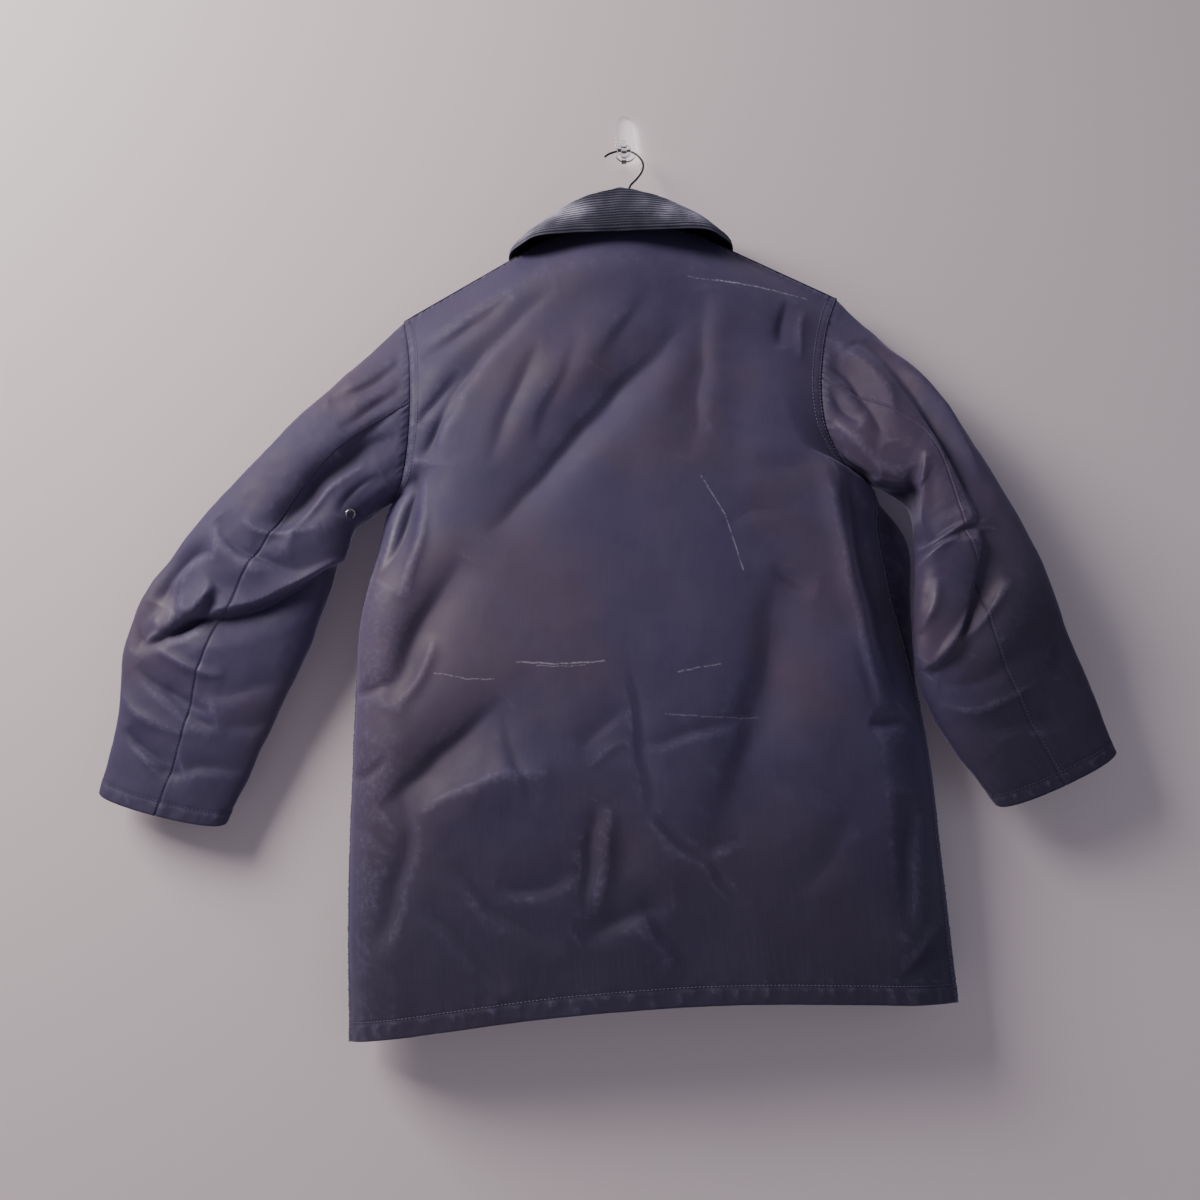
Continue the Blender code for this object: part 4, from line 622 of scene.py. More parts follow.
def beside(row, x, z):
    """For places (x, z): signed distance from a row's curve, its left side positive,
    the place along it from 0 to 1, and the curve's direction there."""
    path_x, path_z = curve_through(row)
    nearest = np.full_like(x, 1e9)
    signed, place = np.zeros_like(x), np.zeros_like(x)
    run_x, run_z = np.ones_like(x), np.zeros_like(x)
    count = len(path_x) - 1
    for k in range(count):
        along_x, along_z = path_x[k + 1] - path_x[k], path_z[k + 1] - path_z[k]
        length = math.hypot(along_x, along_z)
        f = ((x - path_x[k]) * along_x + (z - path_z[k]) * along_z) / length ** 2
        f = np.clip(f, 0.0, 1.0)
        off_x, off_z = x - path_x[k] - f * along_x, z - path_z[k] - f * along_z
        away = np.hypot(off_x, off_z)
        closer = away < nearest
        nearest = np.where(closer, away, nearest)
        side = np.sign(along_x * off_z - along_z * off_x)
        signed = np.where(closer, side * away, signed)
        place = np.where(closer, (k + f) / count, place)
        run_x = np.where(closer, along_x / length, run_x)
        run_z = np.where(closer, along_z / length, run_z)
    return signed, place, run_x, run_z


def creased(creases, x, z):
    """Height of the listed creases at the places (x, z)."""
    wobble = 0.004
    x = x + wobble * ripple(x / 0.045, z / 0.045, 5)
    z = z + wobble * ripple(x / 0.045, z / 0.045, 6)
    total = np.zeros_like(x)
    for row in creases:
        signed, place, _, _ = beside(row, x, z)
        gentle = signed > 0 if row.lean > 0 else signed < 0
        d = np.abs(signed) / (CRISP * row.width) / np.where(gentle, 1 + 3 * abs(row.lean), 1.0)
        taper = np.sin(math.pi * np.clip(place, 0.0, 1.0)) ** 0.8
        total += row.depth * taper * np.exp(-(d * d + 0.004) ** (row.sharp / 2))
    return total


def lipped(lips, x, z):
    """Height and sideways slide of the cloth where it puffs over itself."""
    height, slide_x, slide_z = (np.zeros_like(x) for _ in range(3))
    for row in lips:
        above, place, run_x, run_z = beside(row, x, z)
        taper = np.sin(math.pi * np.clip(place, 0.0, 1.0)) ** 0.5
        step = smooth((above + 0.011) / 0.016)
        puff = smooth((row.reach - above) / row.reach) * step
        hollow = smooth((above + row.reach) / row.reach) * (1 - step)
        height += taper * (row.rise * puff - row.drop * hollow)
        slide = taper * row.hang * np.exp(-((above - 0.004) / 0.010) ** 2)
        slide_x += slide * run_z
        slide_z += -slide * run_x
    return height, slide_x, slide_z


def crumple(x, z, seed, size, height):
    """Crisp little creases of stiff waxed cloth, in three sizes."""
    x = x + 0.25 * size * ripple(x / size / 1.5, z / size / 1.5, seed)
    z = z + 0.25 * size * ripple(x / size / 1.5, z / size / 1.5, seed + 1)
    total = np.zeros_like(x)
    for k in range(3):
        scale = size / 1.9 ** k
        turned_x, turned_z = 0.8 * x + 0.6 * z, -0.6 * x + 0.8 * z
        one = np.abs(ripple(turned_x / scale, turned_z / scale / 1.6, seed + 2 + k))
        two = np.abs(ripple(turned_x / scale / 1.3, turned_z / scale, seed + 7 + k))
        total += height / 2.1 ** k * (one - two)
    return total


def grid_normals(points):
    """Unit normals of a grid of points, by differences along rows and columns."""
    normal = np.cross(np.gradient(points, axis=0), np.gradient(points, axis=1))
    return normal / np.maximum(np.linalg.norm(normal, axis=-1, keepdims=True), 1e-12)


def travelled(points, axis):
    """Length along the grid lines of one axis, from their start."""
    steps = np.linalg.norm(np.diff(points, axis=axis), axis=-1)
    total = np.cumsum(steps, axis=axis)
    pad = [(0, 0), (0, 0)]
    pad[axis] = (1, 0)
    return np.pad(total, pad)


class Panel:
    """A grid of cloth: its points, normals and the distances from its four edges."""

    def __init__(self, name, points):
        self.name = name
        self.base = points
        self.points = points
        self.normals = grid_normals(points)
        down, across = travelled(points, 0), travelled(points, 1)
        self.down, self.across = down, across
        self.away = {
            "top": down,
            "bottom": down[-1:, :] - down,
            "start": across,
            "end": across[:, -1:] - across,
        }
        self.run = {"top": across[:1, :], "bottom": across[-1:, :], "start": down[:, :1], "end": down[:, -1:]}

    def raise_by(self, height, slide_x=0.0, slide_z=0.0):
        """Move the cloth out along its normals, and slide it sideways and upwards."""
        self.points = self.points + self.normals * height[..., None]
        self.points[..., 0] += slide_x
        self.points[..., 2] += slide_z

    def clear_of(self, sides, distance):
        """0 at the named edges, 1 from the given distance inwards."""
        share = np.ones_like(self.down)
        for side in sides:
            share = share * smooth(self.away[side] / distance)
        return share

    def line(self, side, distance, start=0.0, end=1.0, lift=0.0002):
        """Points and normals of a line that keeps its distance from an edge."""
        points, normals = self.points, grid_normals(self.points)
        away = self.away[side]
        if side in ("start", "end"):
            points, normals, away = points.swapaxes(0, 1), normals.swapaxes(0, 1), away.T
        if side in ("end", "bottom"):
            points, normals, away = points[::-1], normals[::-1], away[::-1]
        count = points.shape[1]
        first, last = int(start * (count - 1)), int(end * (count - 1))
        spots, outs = [], []
        for k in range(first, last + 1):
            row = np.searchsorted(away[:, k], distance)
            row = min(max(row, 1), len(away) - 1)
            span = away[row, k] - away[row - 1, k]
            f = min(max((distance - away[row - 1, k]) / max(span, 1e-9), 0.0), 1.0)
            spot = points[row - 1, k] * (1 - f) + points[row, k] * f
            out = normals[row - 1, k] * (1 - f) + normals[row, k] * f
            spots.append(spot + out * lift)
            outs.append(out)
        return np.array(spots), np.array(outs)


def puckered(panel, side, at, reach, height, pitch, seed):
    """Small gathers pulled up by a row of stitches at a distance from an edge."""
    away = panel.away[side]
    run = panel.run[side] + 0.35 * away * ripple(panel.run[side] / 0.05, away * 0, seed + 3)
    waves = ripple(run / pitch, away / (3 * pitch), seed)
    waves = waves + 0.5 * ripple(run / pitch * 1.9, away / pitch, seed + 1)
    patchy = 0.65 + 0.35 * ripple(panel.run[side] / 0.06, away * 0, seed + 2)
    return height * waves * patchy * np.exp(-((away - at) / reach) ** 2)


def seam_relief(panel, side, band, seed, wide=0.0085):
    """The dip at a seam and, with band, the double thickness of a felled seam beside it."""
    away = panel.away[side]
    dip = -0.0003 * np.exp(-(away / 0.0016) ** 2)
    beat = panel.run[side] + 0.002 * ripple(panel.run[side] / 0.02, away * 0, seed + 9)
    rungs = np.abs(np.sin(math.pi * beat / 0.0085)) ** 0.6 - 0.6
    dip = dip + 0.0010 * rungs * smooth(away / 0.003) * smooth((wide + 0.004 - away) / 0.004)
    felled = band * smooth(away / 0.002) * smooth((wide + 0.001 - away) / 0.002)
    return dip + felled + puckered(panel, side, wide / 2, wide, 0.00080, 0.0080, seed)


def ridge_wear_and_hollow_shade(panel):
    """1 on the crests of creases, where wax has rubbed off, and 0 in the hollows, where the cloth is given
    painted shade.
    """
    points, reach = panel.points, 2
    around = np.zeros_like(points)
    for axis in (0, 1):
        for step in (-reach, reach):
            last = points.shape[axis] - 1
            beyond = np.clip(np.arange(last + 1) + step, 0, last)
            around += np.take(points, beyond, axis)
    bend = np.sum((points - around / 4) * grid_normals(points), axis=-1)
    return np.clip(0.5 + bend / 0.0011, 0.0, 1.0)


def polished(spots, x, z):
    """Share of polish from the glossy spots at the places (x, z)."""
    total = np.zeros_like(x)
    for spot in spots:
        far = ((x - spot.x) / spot.wide) ** 2 + ((z - spot.z) / spot.tall) ** 2
        total += spot.amount * np.exp(-far)
    return np.clip(total, 0.0, 1.0)


# ---- Meshes -----------------------------------------------------------------------
def link(name, mesh, *materials):
    """Put a mesh in the scene as a piece at the origin, with its materials."""
    item = bpy.data.objects.new(name, mesh)
    bpy.context.scene.collection.objects.link(item)
    for material in materials:
        mesh.materials.append(material)
    return item


def cloth_mesh(panel, thickness, wear_and_shade, polish, round_edge=0.0006):
    """Closed thin shell of a panel: its outer face, its inner face and a round rim."""
    rows, columns = panel.points.shape[:2]
    normals = grid_normals(panel.points)
    outer = panel.points.reshape(-1, 3)
    inner = (panel.points - normals * thickness).reshape(-1, 3)
    spots = np.arange(rows * columns).reshape(rows, columns)
    rim = np.concatenate([spots[0, :-1], spots[:-1, -1], spots[-1, :0:-1], spots[:0:-1, 0]])
    middle = (outer[rim] + inner[rim]) / 2
    grid = panel.points
    outwards = np.concatenate([
        (grid[0] - grid[1])[:-1],
        (grid[:, -1] - grid[:, -2])[:-1],
        (grid[-1] - grid[-2])[:0:-1],
        (grid[:, 0] - grid[:, 1])[:0:-1],
    ])
    outwards /= np.maximum(np.linalg.norm(outwards, axis=-1, keepdims=True), 1e-9)
    middle = middle + outwards * round_edge
    coords = np.concatenate([outer, inner, middle])
    total = rows * columns
    a, b = spots[:-1, :-1].ravel(), spots[:-1, 1:].ravel()
    c, d = spots[1:, 1:].ravel(), spots[1:, :-1].ravel()
    front = np.stack([a, d, c, b], axis=-1)
    back = np.stack([a, b, c, d], axis=-1) + total
    this, after = rim, np.roll(rim, -1)
    mid = 2 * total + np.arange(len(rim))
    mid_after = np.roll(mid, -1)
    near = np.stack([this, after, mid_after, mid], axis=-1)
    far = np.stack([mid, mid_after, after + total, this + total], axis=-1)
    faces = np.concatenate([front, back, near, far])
    mesh = bpy.data.meshes.new(panel.name)
    mesh.vertices.add(len(coords))
    mesh.vertices.foreach_set("co", coords.astype(np.float32).ravel())
    mesh.loops.add(faces.size)
    mesh.loops.foreach_set("vertex_index", faces.astype(np.int32).ravel())
    mesh.polygons.add(len(faces))
    mesh.polygons.foreach_set("loop_start", np.arange(0, faces.size, 4, dtype=np.int32))
    slots = np.zeros(len(faces), np.int32)
    slots[len(front):len(front) + len(back)] = 1
    mesh.polygons.foreach_set("material_index", slots)
    mesh.update(calc_edges=True)
    flat = np.stack([panel.across.ravel(), -panel.down.ravel()], axis=-1)
    place = np.concatenate([flat, flat, flat[rim]])
    uv = mesh.uv_layers.new(name="Cloth")
    uv.data.foreach_set("uv", place[faces.ravel()].astype(np.float32).ravel())
    for label, values in (("wear_and_shade", wear_and_shade), ("polish", polish)):
        values = values.ravel()
        data = mesh.attributes.new(label, "FLOAT", "POINT").data
        data.foreach_set("value", np.concatenate([values, values * 0, values[rim]]).astype(np.float32))
    if mesh.validate():
        raise RuntimeError(f"{panel.name} has broken faces")
    mesh.shade_smooth()
    return mesh


def declare(piece, nodes):
    """Let a piece ride on the body and stand for its solids, which are hidden."""
    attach(piece, BODY)
    if nodes:
        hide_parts(*nodes)


# ---- Materials --------------------------------------------------------------------
def linear(code):
    """Linear colour, with alpha, of an sRGB hex value."""
    levels = [int(code[k:k + 2], 16) / 255 for k in (1, 3, 5)]
    curve = [c / 12.92 if c <= 0.04045 else ((c + 0.055) / 1.055) ** 2.4 for c in levels]
    return (*curve, 1.0)


def add(tree, kind, inputs=(), **settings):
    """Add a node with its settings. Its inputs, by place or by name, are values, or the
    sockets that feed them; a node given as an input feeds its first output."""
    node = tree.nodes.new(kind)
    for name, value in settings.items():
        setattr(node, name, value)
    for name, value in inputs.items() if isinstance(inputs, dict) else enumerate(inputs):
        if isinstance(value, bpy.types.Node):
            value = value.outputs[0]
        if isinstance(value, bpy.types.NodeSocket):
            tree.links.new(value, node.inputs[name])
        else:
            node.inputs[name].default_value = value
    return node


def new_material(name):
    """Empty material with a Principled shader on its output."""
    material = bpy.data.materials.new(name)
    material.use_nodes = True
    material.node_tree.nodes.clear()
    shader = add(material.node_tree, "ShaderNodeBsdfPrincipled")
    add(material.node_tree, "ShaderNodeOutputMaterial", {"Surface": shader})
    return material, material.node_tree, shader


# Kinds of node and their settings, as the finishes use them. A mix takes its share in
# place 0 and its two colours in places 6 and 7, and gives its colour in place 2.
NOISE, MATH, RANGE, MIX = "ShaderNodeTexNoise", "ShaderNodeMath", "ShaderNodeMapRange", "ShaderNodeMix"
VECTOR, BUMP = "ShaderNodeVectorMath", "ShaderNodeBump"
EASED = {"interpolation_type": "SMOOTHSTEP"}
TINT = {"data_type": "RGBA"}
TIMES, PLUS, MINUS = {"operation": "MULTIPLY"}, {"operation": "ADD"}, {"operation": "SUBTRACT"}


def distance_to_mark(tree, spot, mark):
    """Distance in metres from a thin mark, as the nearer of its two straight legs."""
    ends = [Vector((x, 0, z)) for x, z in ((mark.x0, mark.z0), (mark.x1, mark.z1), (mark.x2, mark.z2))]
    found = []
    for start, end in zip(ends, ends[1:]):
        along = end - start
        off = add(tree, VECTOR, (spot, start), **MINUS)
        dot = add(tree, VECTOR, (off, along / along.length_squared), operation="DOT_PRODUCT")
        share = add(tree, "ShaderNodeClamp", (dot.outputs["Value"],))
        foot = add(tree, VECTOR, {0: along, "Scale": share}, operation="SCALE")
        left = add(tree, VECTOR, (off, foot), **MINUS)
        found.append(add(tree, VECTOR, (left,), operation="LENGTH").outputs["Value"])
    return add(tree, MATH, found, operation="MINIMUM")


def waxed_cotton(name, colours, marks=()):
    """Waxed cotton: tightly woven cotton dressed with wax, so it has a broad, uneven sheen, a mottled tone
    where the wax has dried, pale crests and polished spots, with painted shade towards the hem, on the right
    forearm and in the crease hollows."""
    material, tree, shader = new_material(name)
    dye_and_shade = {key: linear(code) for key, code in colours.items()}
    place = add(tree, "ShaderNodeTexCoord").outputs["Object"]
    flat = add(tree, "ShaderNodeUVMap", uv_map="Cloth")
    wear_and_shade = add(tree, "ShaderNodeAttribute", attribute_name="wear_and_shade").outputs["Fac"]
    polish = add(tree, "ShaderNodeAttribute", attribute_name="polish").outputs["Fac"]
    x, _, z = add(tree, "ShaderNodeSeparateXYZ", (place,)).outputs
    # Broad clouds of faded dye, about 200 mm, and patches of dry wax, about 45 mm.
    clouds = add(tree, NOISE, {"Vector": place, "Scale": 1 / 0.20, "Detail": 3.0, "Roughness": 0.55})
    clouds = add(tree, RANGE, (clouds, 0.38, 0.64), **EASED)
    patches = add(tree, NOISE, {"Vector": place, "Scale": 1 / 0.045, "Detail": 4.0, "Roughness": 0.55})
    patches = add(tree, RANGE, (patches, 0.35, 0.70), **EASED)
    share = add(tree, MATH, (patches, 0.16), **TIMES)
    colour = add(tree, MIX, {0: clouds, 6: dye_and_shade["navy"], 7: dye_and_shade["plum"]}, **TINT).outputs[2]
    colour = add(tree, MIX, {0: share, 6: colour, 7: dye_and_shade["slate"]}, **TINT).outputs[2]
    # Painted shade: the colour goes darker towards the hem and the cuffs, where less light reaches.
    low = add(tree, RANGE, (z, -0.62, -1.02), **EASED)
    low = add(tree, MATH, (low, 0.80), **TIMES)
    colour = add(tree, MIX, {0: low, 6: colour, 7: dye_and_shade["deep"]}, **TINT).outputs[2]
    # Painted shade: the right forearm, which faces away from the light, is darkened.
    outer = add(tree, RANGE, (x, 0.300, 0.400), **EASED)
    lower = add(tree, RANGE, (z, -0.46, -0.66), **EASED)
    forearm_painted_shade = add(tree, MATH, (outer, lower), **TIMES)
    forearm_painted_shade = add(tree, MATH, (forearm_painted_shade, 0.96), **TIMES)
    colour = add(tree, MIX, {0: forearm_painted_shade, 6: colour, 7: dye_and_shade["deep"]}, **TINT).outputs[2]
    # Fine vertical streaks of the weave, about 2 mm apart and 60 mm long.
    streaks = add(tree, VECTOR, (flat, (1.0, 0.035, 1.0)), **TIMES)
    streaks = add(tree, NOISE, {"Vector": streaks, "Scale": 1 / 0.002, "Detail": 2.0, "Roughness": 0.6})
    streaks = add(tree, RANGE, (streaks, 0.40, 0.75, 0.0, 0.07), **EASED)
    colour = add(tree, MIX, {0: streaks, 6: colour, 7: dye_and_shade["slate"]}, **TINT).outputs[2]
    # Crests of creases rub pale, and the hollows get painted shade.
    speckle = add(tree, NOISE, {"Vector": place, "Scale": 1 / 0.006, "Detail": 4.0, "Roughness": 0.7})
    speckle = add(tree, RANGE, (speckle, 0.42, 0.72), **EASED)
    speckle = add(tree, MATH, (speckle, 0.35), **PLUS)
    crest = add(tree, RANGE, (wear_and_shade, 0.62, 1.0), **EASED)
    crest = add(tree, MATH, (crest, speckle), **TIMES)
    crest = add(tree, MATH, (crest, 0.14), use_clamp=True, **TIMES)
    colour = add(tree, MIX, {0: crest, 6: colour, 7: dye_and_shade["chalk"]}, **TINT).outputs[2]
    hollow = add(tree, RANGE, (wear_and_shade, 0.30, 0.0, 0.0, 0.25), **EASED)
    colour = add(tree, MIX, {0: hollow, 6: colour, 7: dye_and_shade["deep"]}, **TINT).outputs[2]
    if marks:
        # The chalky marks waver by 2 mm and break up where the cloth is dimpled.
        waver = add(tree, NOISE, {"Vector": place, "Scale": 1 / 0.012, "Detail": 2.0, "Roughness": 0.55})
        waver = add(tree, MATH, (waver, 0.5), **MINUS)
        waver = add(tree, MATH, (waver, 0.004), **TIMES)
        height = add(tree, MATH, (z, waver), **PLUS)
        spot = add(tree, "ShaderNodeCombineXYZ", (x, 0.0, height))
        broken = add(tree, NOISE, {"Vector": place, "Scale": 1 / 0.0035, "Detail": 3.0, "Roughness": 0.7})
        broken = add(tree, RANGE, (broken, 0.36, 0.58), **EASED)
        for mark in marks:
            away = distance_to_mark(tree, spot, mark)
            line = add(tree, RANGE, (away, mark.width, 0.0), **EASED)
            line = add(tree, MATH, (line, 0.45 * mark.amount), **TIMES)
            line = add(tree, MATH, (line, broken), **TIMES)
            colour = add(tree, MIX, {0: line, 6: colour, 7: dye_and_shade["chalk_mark"]}, **TINT).outputs[2]
    tree.links.new(colour, shader.inputs["Base Color"])
    # Wax sheen: duller where dry, glossier where rubbed.
    dull = add(tree, MATH, (patches, 0.12), **TIMES)
    dull = add(tree, MATH, (0.62, dull), **PLUS)
    gloss = add(tree, MATH, (polish, 0.30), **TIMES)
    dull = add(tree, MATH, (dull, gloss), **MINUS)
    gloss = add(tree, MATH, (clouds, 0.04), **TIMES)
    dull = add(tree, MATH, (dull, gloss), **MINUS)
    tree.links.new(dull.outputs[0], shader.inputs["Roughness"])
    # Threads are 0.4 mm apart in the real weave; they are drawn 0.9 mm apart to show.
    thread = 0.0009
    wave = {"Vector": flat, "Scale": 2 * math.pi / 20 / thread}
    warp_threads = add(tree, "ShaderNodeTexWave", wave, bands_direction="X").outputs["Fac"]
    weft_threads = add(tree, "ShaderNodeTexWave", wave, bands_direction="Y").outputs["Fac"]
    weave = add(tree, MATH, (warp_threads, weft_threads), **TIMES)
    bump = add(tree, BUMP, {"Height": weave, "Strength": 0.12, "Distance": 0.0002})
    grain = add(tree, NOISE, {"Vector": place, "Scale": 1 / 0.0045, "Detail": 4.0, "Roughness": 0.62})
    bump = add(tree, BUMP, {"Height": grain, "Strength": 0.10, "Distance": 0.0005, "Normal": bump})
    dents = add(tree, NOISE, {"Vector": place, "Scale": 1 / 0.016, "Detail": 3.0, "Roughness": 0.6})
    bump = add(tree, BUMP, {"Height": dents, "Strength": 0.10, "Distance": 0.0012, "Normal": bump})
    tree.links.new(bump.outputs[0], shader.inputs["Normal"])
    shader.inputs["Specular IOR Level"].default_value = 0.34
    shader.inputs["Sheen Weight"].default_value = 0.30
    shader.inputs["Sheen Roughness"].default_value = 0.45
    shader.inputs["Sheen Tint"].default_value = linear("#A9A6D8")
    return material


def lining_cotton():
    """Lining: plain dark cotton, matt, seen only inside the hem, neck and cuffs."""
    material, tree, shader = new_material("plain woven lining cotton")
    flat = add(tree, "ShaderNodeUVMap", uv_map="Cloth")
    thread = add(tree, VECTOR, (flat, (1.0, 0.2, 1.0)), **TIMES)
    thread = add(tree, NOISE, {"Vector": thread, "Scale": 1 / 0.0012, "Detail": 2.0, "Roughness": 0.6})
    share = add(tree, RANGE, (thread, 0.35, 0.7), **EASED)
    colour = add(tree, MIX, {0: share, 6: linear("#14131D"), 7: linear("#22202E")}, **TINT)
    tree.links.new(colour.outputs[2], shader.inputs["Base Color"])
    bump = add(tree, BUMP, {"Height": thread, "Strength": 0.25, "Distance": 0.0003})
    tree.links.new(bump.outputs[0], shader.inputs["Normal"])
    shader.inputs["Roughness"].default_value = 0.9
    return material


def corduroy():
    """Corduroy: cut pile in wales, with painted shade that makes the grooves near black, and a pale bloom on
    the crests that is strongest where the collar has rubbed."""
    material, tree, shader = new_material("needlecord corduroy")
    place = add(tree, "ShaderNodeTexCoord").outputs["Object"]
    flat = add(tree, "ShaderNodeUVMap", uv_map="Cloth")
    crest = add(tree, "ShaderNodeAttribute", attribute_name="wear_and_shade").outputs["Fac"]
    rubbed = add(tree, "ShaderNodeAttribute", attribute_name="polish").outputs["Fac"]
    pile = add(tree, VECTOR, (flat, (0.35, 1.0, 1.0)), **TIMES)
    pile = add(tree, NOISE, {"Vector": pile, "Scale": 1 / 0.0011, "Detail": 4.0, "Roughness": 0.7})
    # Painted shade: near black in the grooves between the wales, the pile's own colour on their crests.
    share = add(tree, RANGE, (crest, 0.15, 0.85), **EASED)
    colour = add(tree, MIX, {0: share, 6: linear("#05050B"), 7: linear("#2A2A3E")}, **TINT).outputs[2]
    # The bloom is patchy, in clouds about 35 mm across.
    cloud = add(tree, NOISE, {"Vector": place, "Scale": 1 / 0.035, "Detail": 4.0, "Roughness": 0.6})
    cloud = add(tree, RANGE, (cloud, 0.35, 0.68), **EASED)
    cloud = add(tree, MATH, (cloud, 0.45), **PLUS)
    bloom = add(tree, MATH, (crest, rubbed), **TIMES)
    bloom = add(tree, MATH, (bloom, cloud), **TIMES)
    bloom = add(tree, MATH, (bloom, 0.85), use_clamp=True, **TIMES)
    colour = add(tree, MIX, {0: bloom, 6: colour, 7: linear("#B4B2CC")}, **TINT).outputs[2]
    tufts = add(tree, RANGE, (pile, 0.40, 0.75, 0.0, 0.35), **EASED)
    colour = add(tree, MIX, {0: tufts, 6: colour, 7: linear("#3A3A50")}, **TINT)
    tree.links.new(colour.outputs[2], shader.inputs["Base Color"])
    bump = add(tree, BUMP, {"Height": pile, "Strength": 0.6, "Distance": 0.0006})
    tree.links.new(bump.outputs[0], shader.inputs["Normal"])
    shader.inputs["Roughness"].default_value = 0.88
    shader.inputs["Sheen Weight"].default_value = 0.75
    shader.inputs["Sheen Roughness"].default_value = 0.35
    shader.inputs["Sheen Tint"].default_value = linear("#8E94B4")
    shader.inputs["Specular IOR Level"].default_value = 0.25
    return material


def sewing_thread(name, code):
    """Sewing thread: twisted polyester, with a faint twist that breaks its shine."""
    material, tree, shader = new_material(name)
    place = add(tree, "ShaderNodeTexCoord").outputs["Object"]
    twist = add(tree, NOISE, {"Vector": place, "Scale": 1 / 0.0009, "Detail": 2.0, "Roughness": 0.55})
    twist = add(tree, RANGE, (twist, 0.3, 0.7, 0.0, 0.5), **EASED)
    colour = add(tree, MIX, {0: twist, 6: linear(code), 7: linear("#14131F")}, **TINT)
    tree.links.new(colour.outputs[2], shader.inputs["Base Color"])
    shader.inputs["Roughness"].default_value = 0.6
    return material


def enamelled_steel():
    """Hanger wire: drawn steel with a thin black enamel, a little worn."""
    material, tree, shader = new_material("black enamelled steel wire")
    place = add(tree, "ShaderNodeTexCoord").outputs["Object"]
    worn = add(tree, NOISE, {"Vector": place, "Scale": 1 / 0.006, "Detail": 4.0, "Roughness": 0.7})
    worn = add(tree, RANGE, (worn, 0.60, 0.78), **EASED)
    colour = add(tree, MIX, {0: worn, 6: linear("#101014"), 7: linear("#3A3A40")}, **TINT)
    tree.links.new(colour.outputs[2], shader.inputs["Base Color"])
    rough = add(tree, NOISE, {"Vector": place, "Scale": 1 / 0.003, "Detail": 3.0, "Roughness": 0.55})
    rough = add(tree, RANGE, (rough, 0.3, 0.7, 0.24, 0.40), **EASED)
    tree.links.new(rough.outputs[0], shader.inputs["Roughness"])
    return material


def clear_plastic():
    """Hook: injection-moulded clear polycarbonate, polished, with faint handling marks."""
    material, tree, shader = new_material("clear moulded polycarbonate")
    place = add(tree, "ShaderNodeTexCoord").outputs["Object"]
    rough = add(tree, NOISE, {"Vector": place, "Scale": 1 / 0.004, "Detail": 4.0, "Roughness": 0.7})
    rough = add(tree, RANGE, (rough, 0.5, 0.8, 0.02, 0.09), **EASED)
    tree.links.new(rough.outputs[0], shader.inputs["Roughness"])
    shader.inputs["Base Color"].default_value = linear("#F4F6F8")
    shader.inputs["Transmission Weight"].default_value = 1.0
    shader.inputs["IOR"].default_value = 1.58
    return material


def aged_brass(name, bright, dark, rough):
    """Studs and eyelet: stamped brass with an aged finish, patchy with tarnish."""
    material, tree, shader = new_material(name)
    place = add(tree, "ShaderNodeTexCoord").outputs["Object"]
    tarnish = add(tree, NOISE, {"Vector": place, "Scale": 1 / 0.0025, "Detail": 4.0, "Roughness": 0.65})
    tarnish = add(tree, RANGE, (tarnish, 0.35, 0.7), **EASED)
    colour = add(tree, MIX, {0: tarnish, 6: linear(bright), 7: linear(dark)}, **TINT)
    tree.links.new(colour.outputs[2], shader.inputs["Base Color"])
    dull = add(tree, MATH, (tarnish, 0.2), **TIMES)
    dull = add(tree, MATH, (rough, dull), **PLUS)
    tree.links.new(dull.outputs[0], shader.inputs["Roughness"])
    shader.inputs["Metallic"].default_value = 1.0
    return material


def studio_paint(name, code):
    """Floor: matt pale paint, rolled on."""
    material, tree, shader = new_material(name)
    place = add(tree, "ShaderNodeTexCoord").outputs["Object"]
    roller = add(tree, NOISE, {"Vector": place, "Scale": 1 / 0.006, "Detail": 3.0, "Roughness": 0.55})
    bump = add(tree, BUMP, {"Height": roller, "Strength": 0.08, "Distance": 0.0005})
    tree.links.new(bump.outputs[0], shader.inputs["Normal"])
    shader.inputs["Base Color"].default_value = linear(code)
    shader.inputs["Roughness"].default_value = 0.85
    return material


COTTON_COLOURS = {
    "navy": "#3A3453",
    "plum": "#44394F",
    "slate": "#554F6E",
    # The colour of painted shade, towards the hem, on the right forearm and in the crease hollows.
    "deep": "#211C33",
    "chalk": "#8480A0",
    "chalk_mark": "#C9C6D6",
}


def cloth_materials(name, marks=()):
    """The two finishes of a cloth piece: its waxed face and its lining."""
    lining = bpy.data.materials.get("plain woven lining cotton") or lining_cotton()
    face = bpy.data.materials.get(name) or waxed_cotton(name, COTTON_COLOURS, marks)
    return face, lining


# ---- Panels of cloth --------------------------------------------------------------
SLEEVE_ROWS = runs((0.0, 0), (0.035, 10), (0.97, 210), (1.0, 9))


def back_panel():
    """The back, creased and puckered."""
    v, u = np.meshgrid(
        runs((0.0, 0), (0.02, 6), (ARMHOLE, 58), (0.955, 150), (1.0, 16)),
        runs((0.0, 0), (0.03, 9), (NECK_LEFT, 58), (NECK_RIGHT, 54), (0.97, 56), (1.0, 9)),
        indexing="ij",
    )
    panel = Panel("back", body_point(u, v, "back"))
    x, z = panel.base[..., 0], panel.base[..., 2]
    quiet = panel.clear_of(("start", "end"), 0.020) * panel.clear_of(("top",), 0.030)
    height = 1.6 * creased(BACK_CREASES, x, z) * quiet
    busy = 0.35 + 0.65 * smooth((-0.50 - z) / 0.30)
    height += crumple(x, z, 11, 0.075, 0.0009) * busy * quiet
    height += crumple(x, z, 31, 0.030, 0.0002) * busy * quiet
    height += 0.0022 * ripple(x / 0.11, z / 0.15, 51) * quiet
    for side, seed in (("start", 71), ("end", 81)):
        height += seam_relief(panel, side, 0.0005, seed)
    height += seam_relief(panel, "top", 0.0003, 91) * (np.abs(u - MIDDLE) > NECK_HALF)
    height += hem_relief(panel, 101, 0.0185)
    panel.raise_by(height)
    return panel


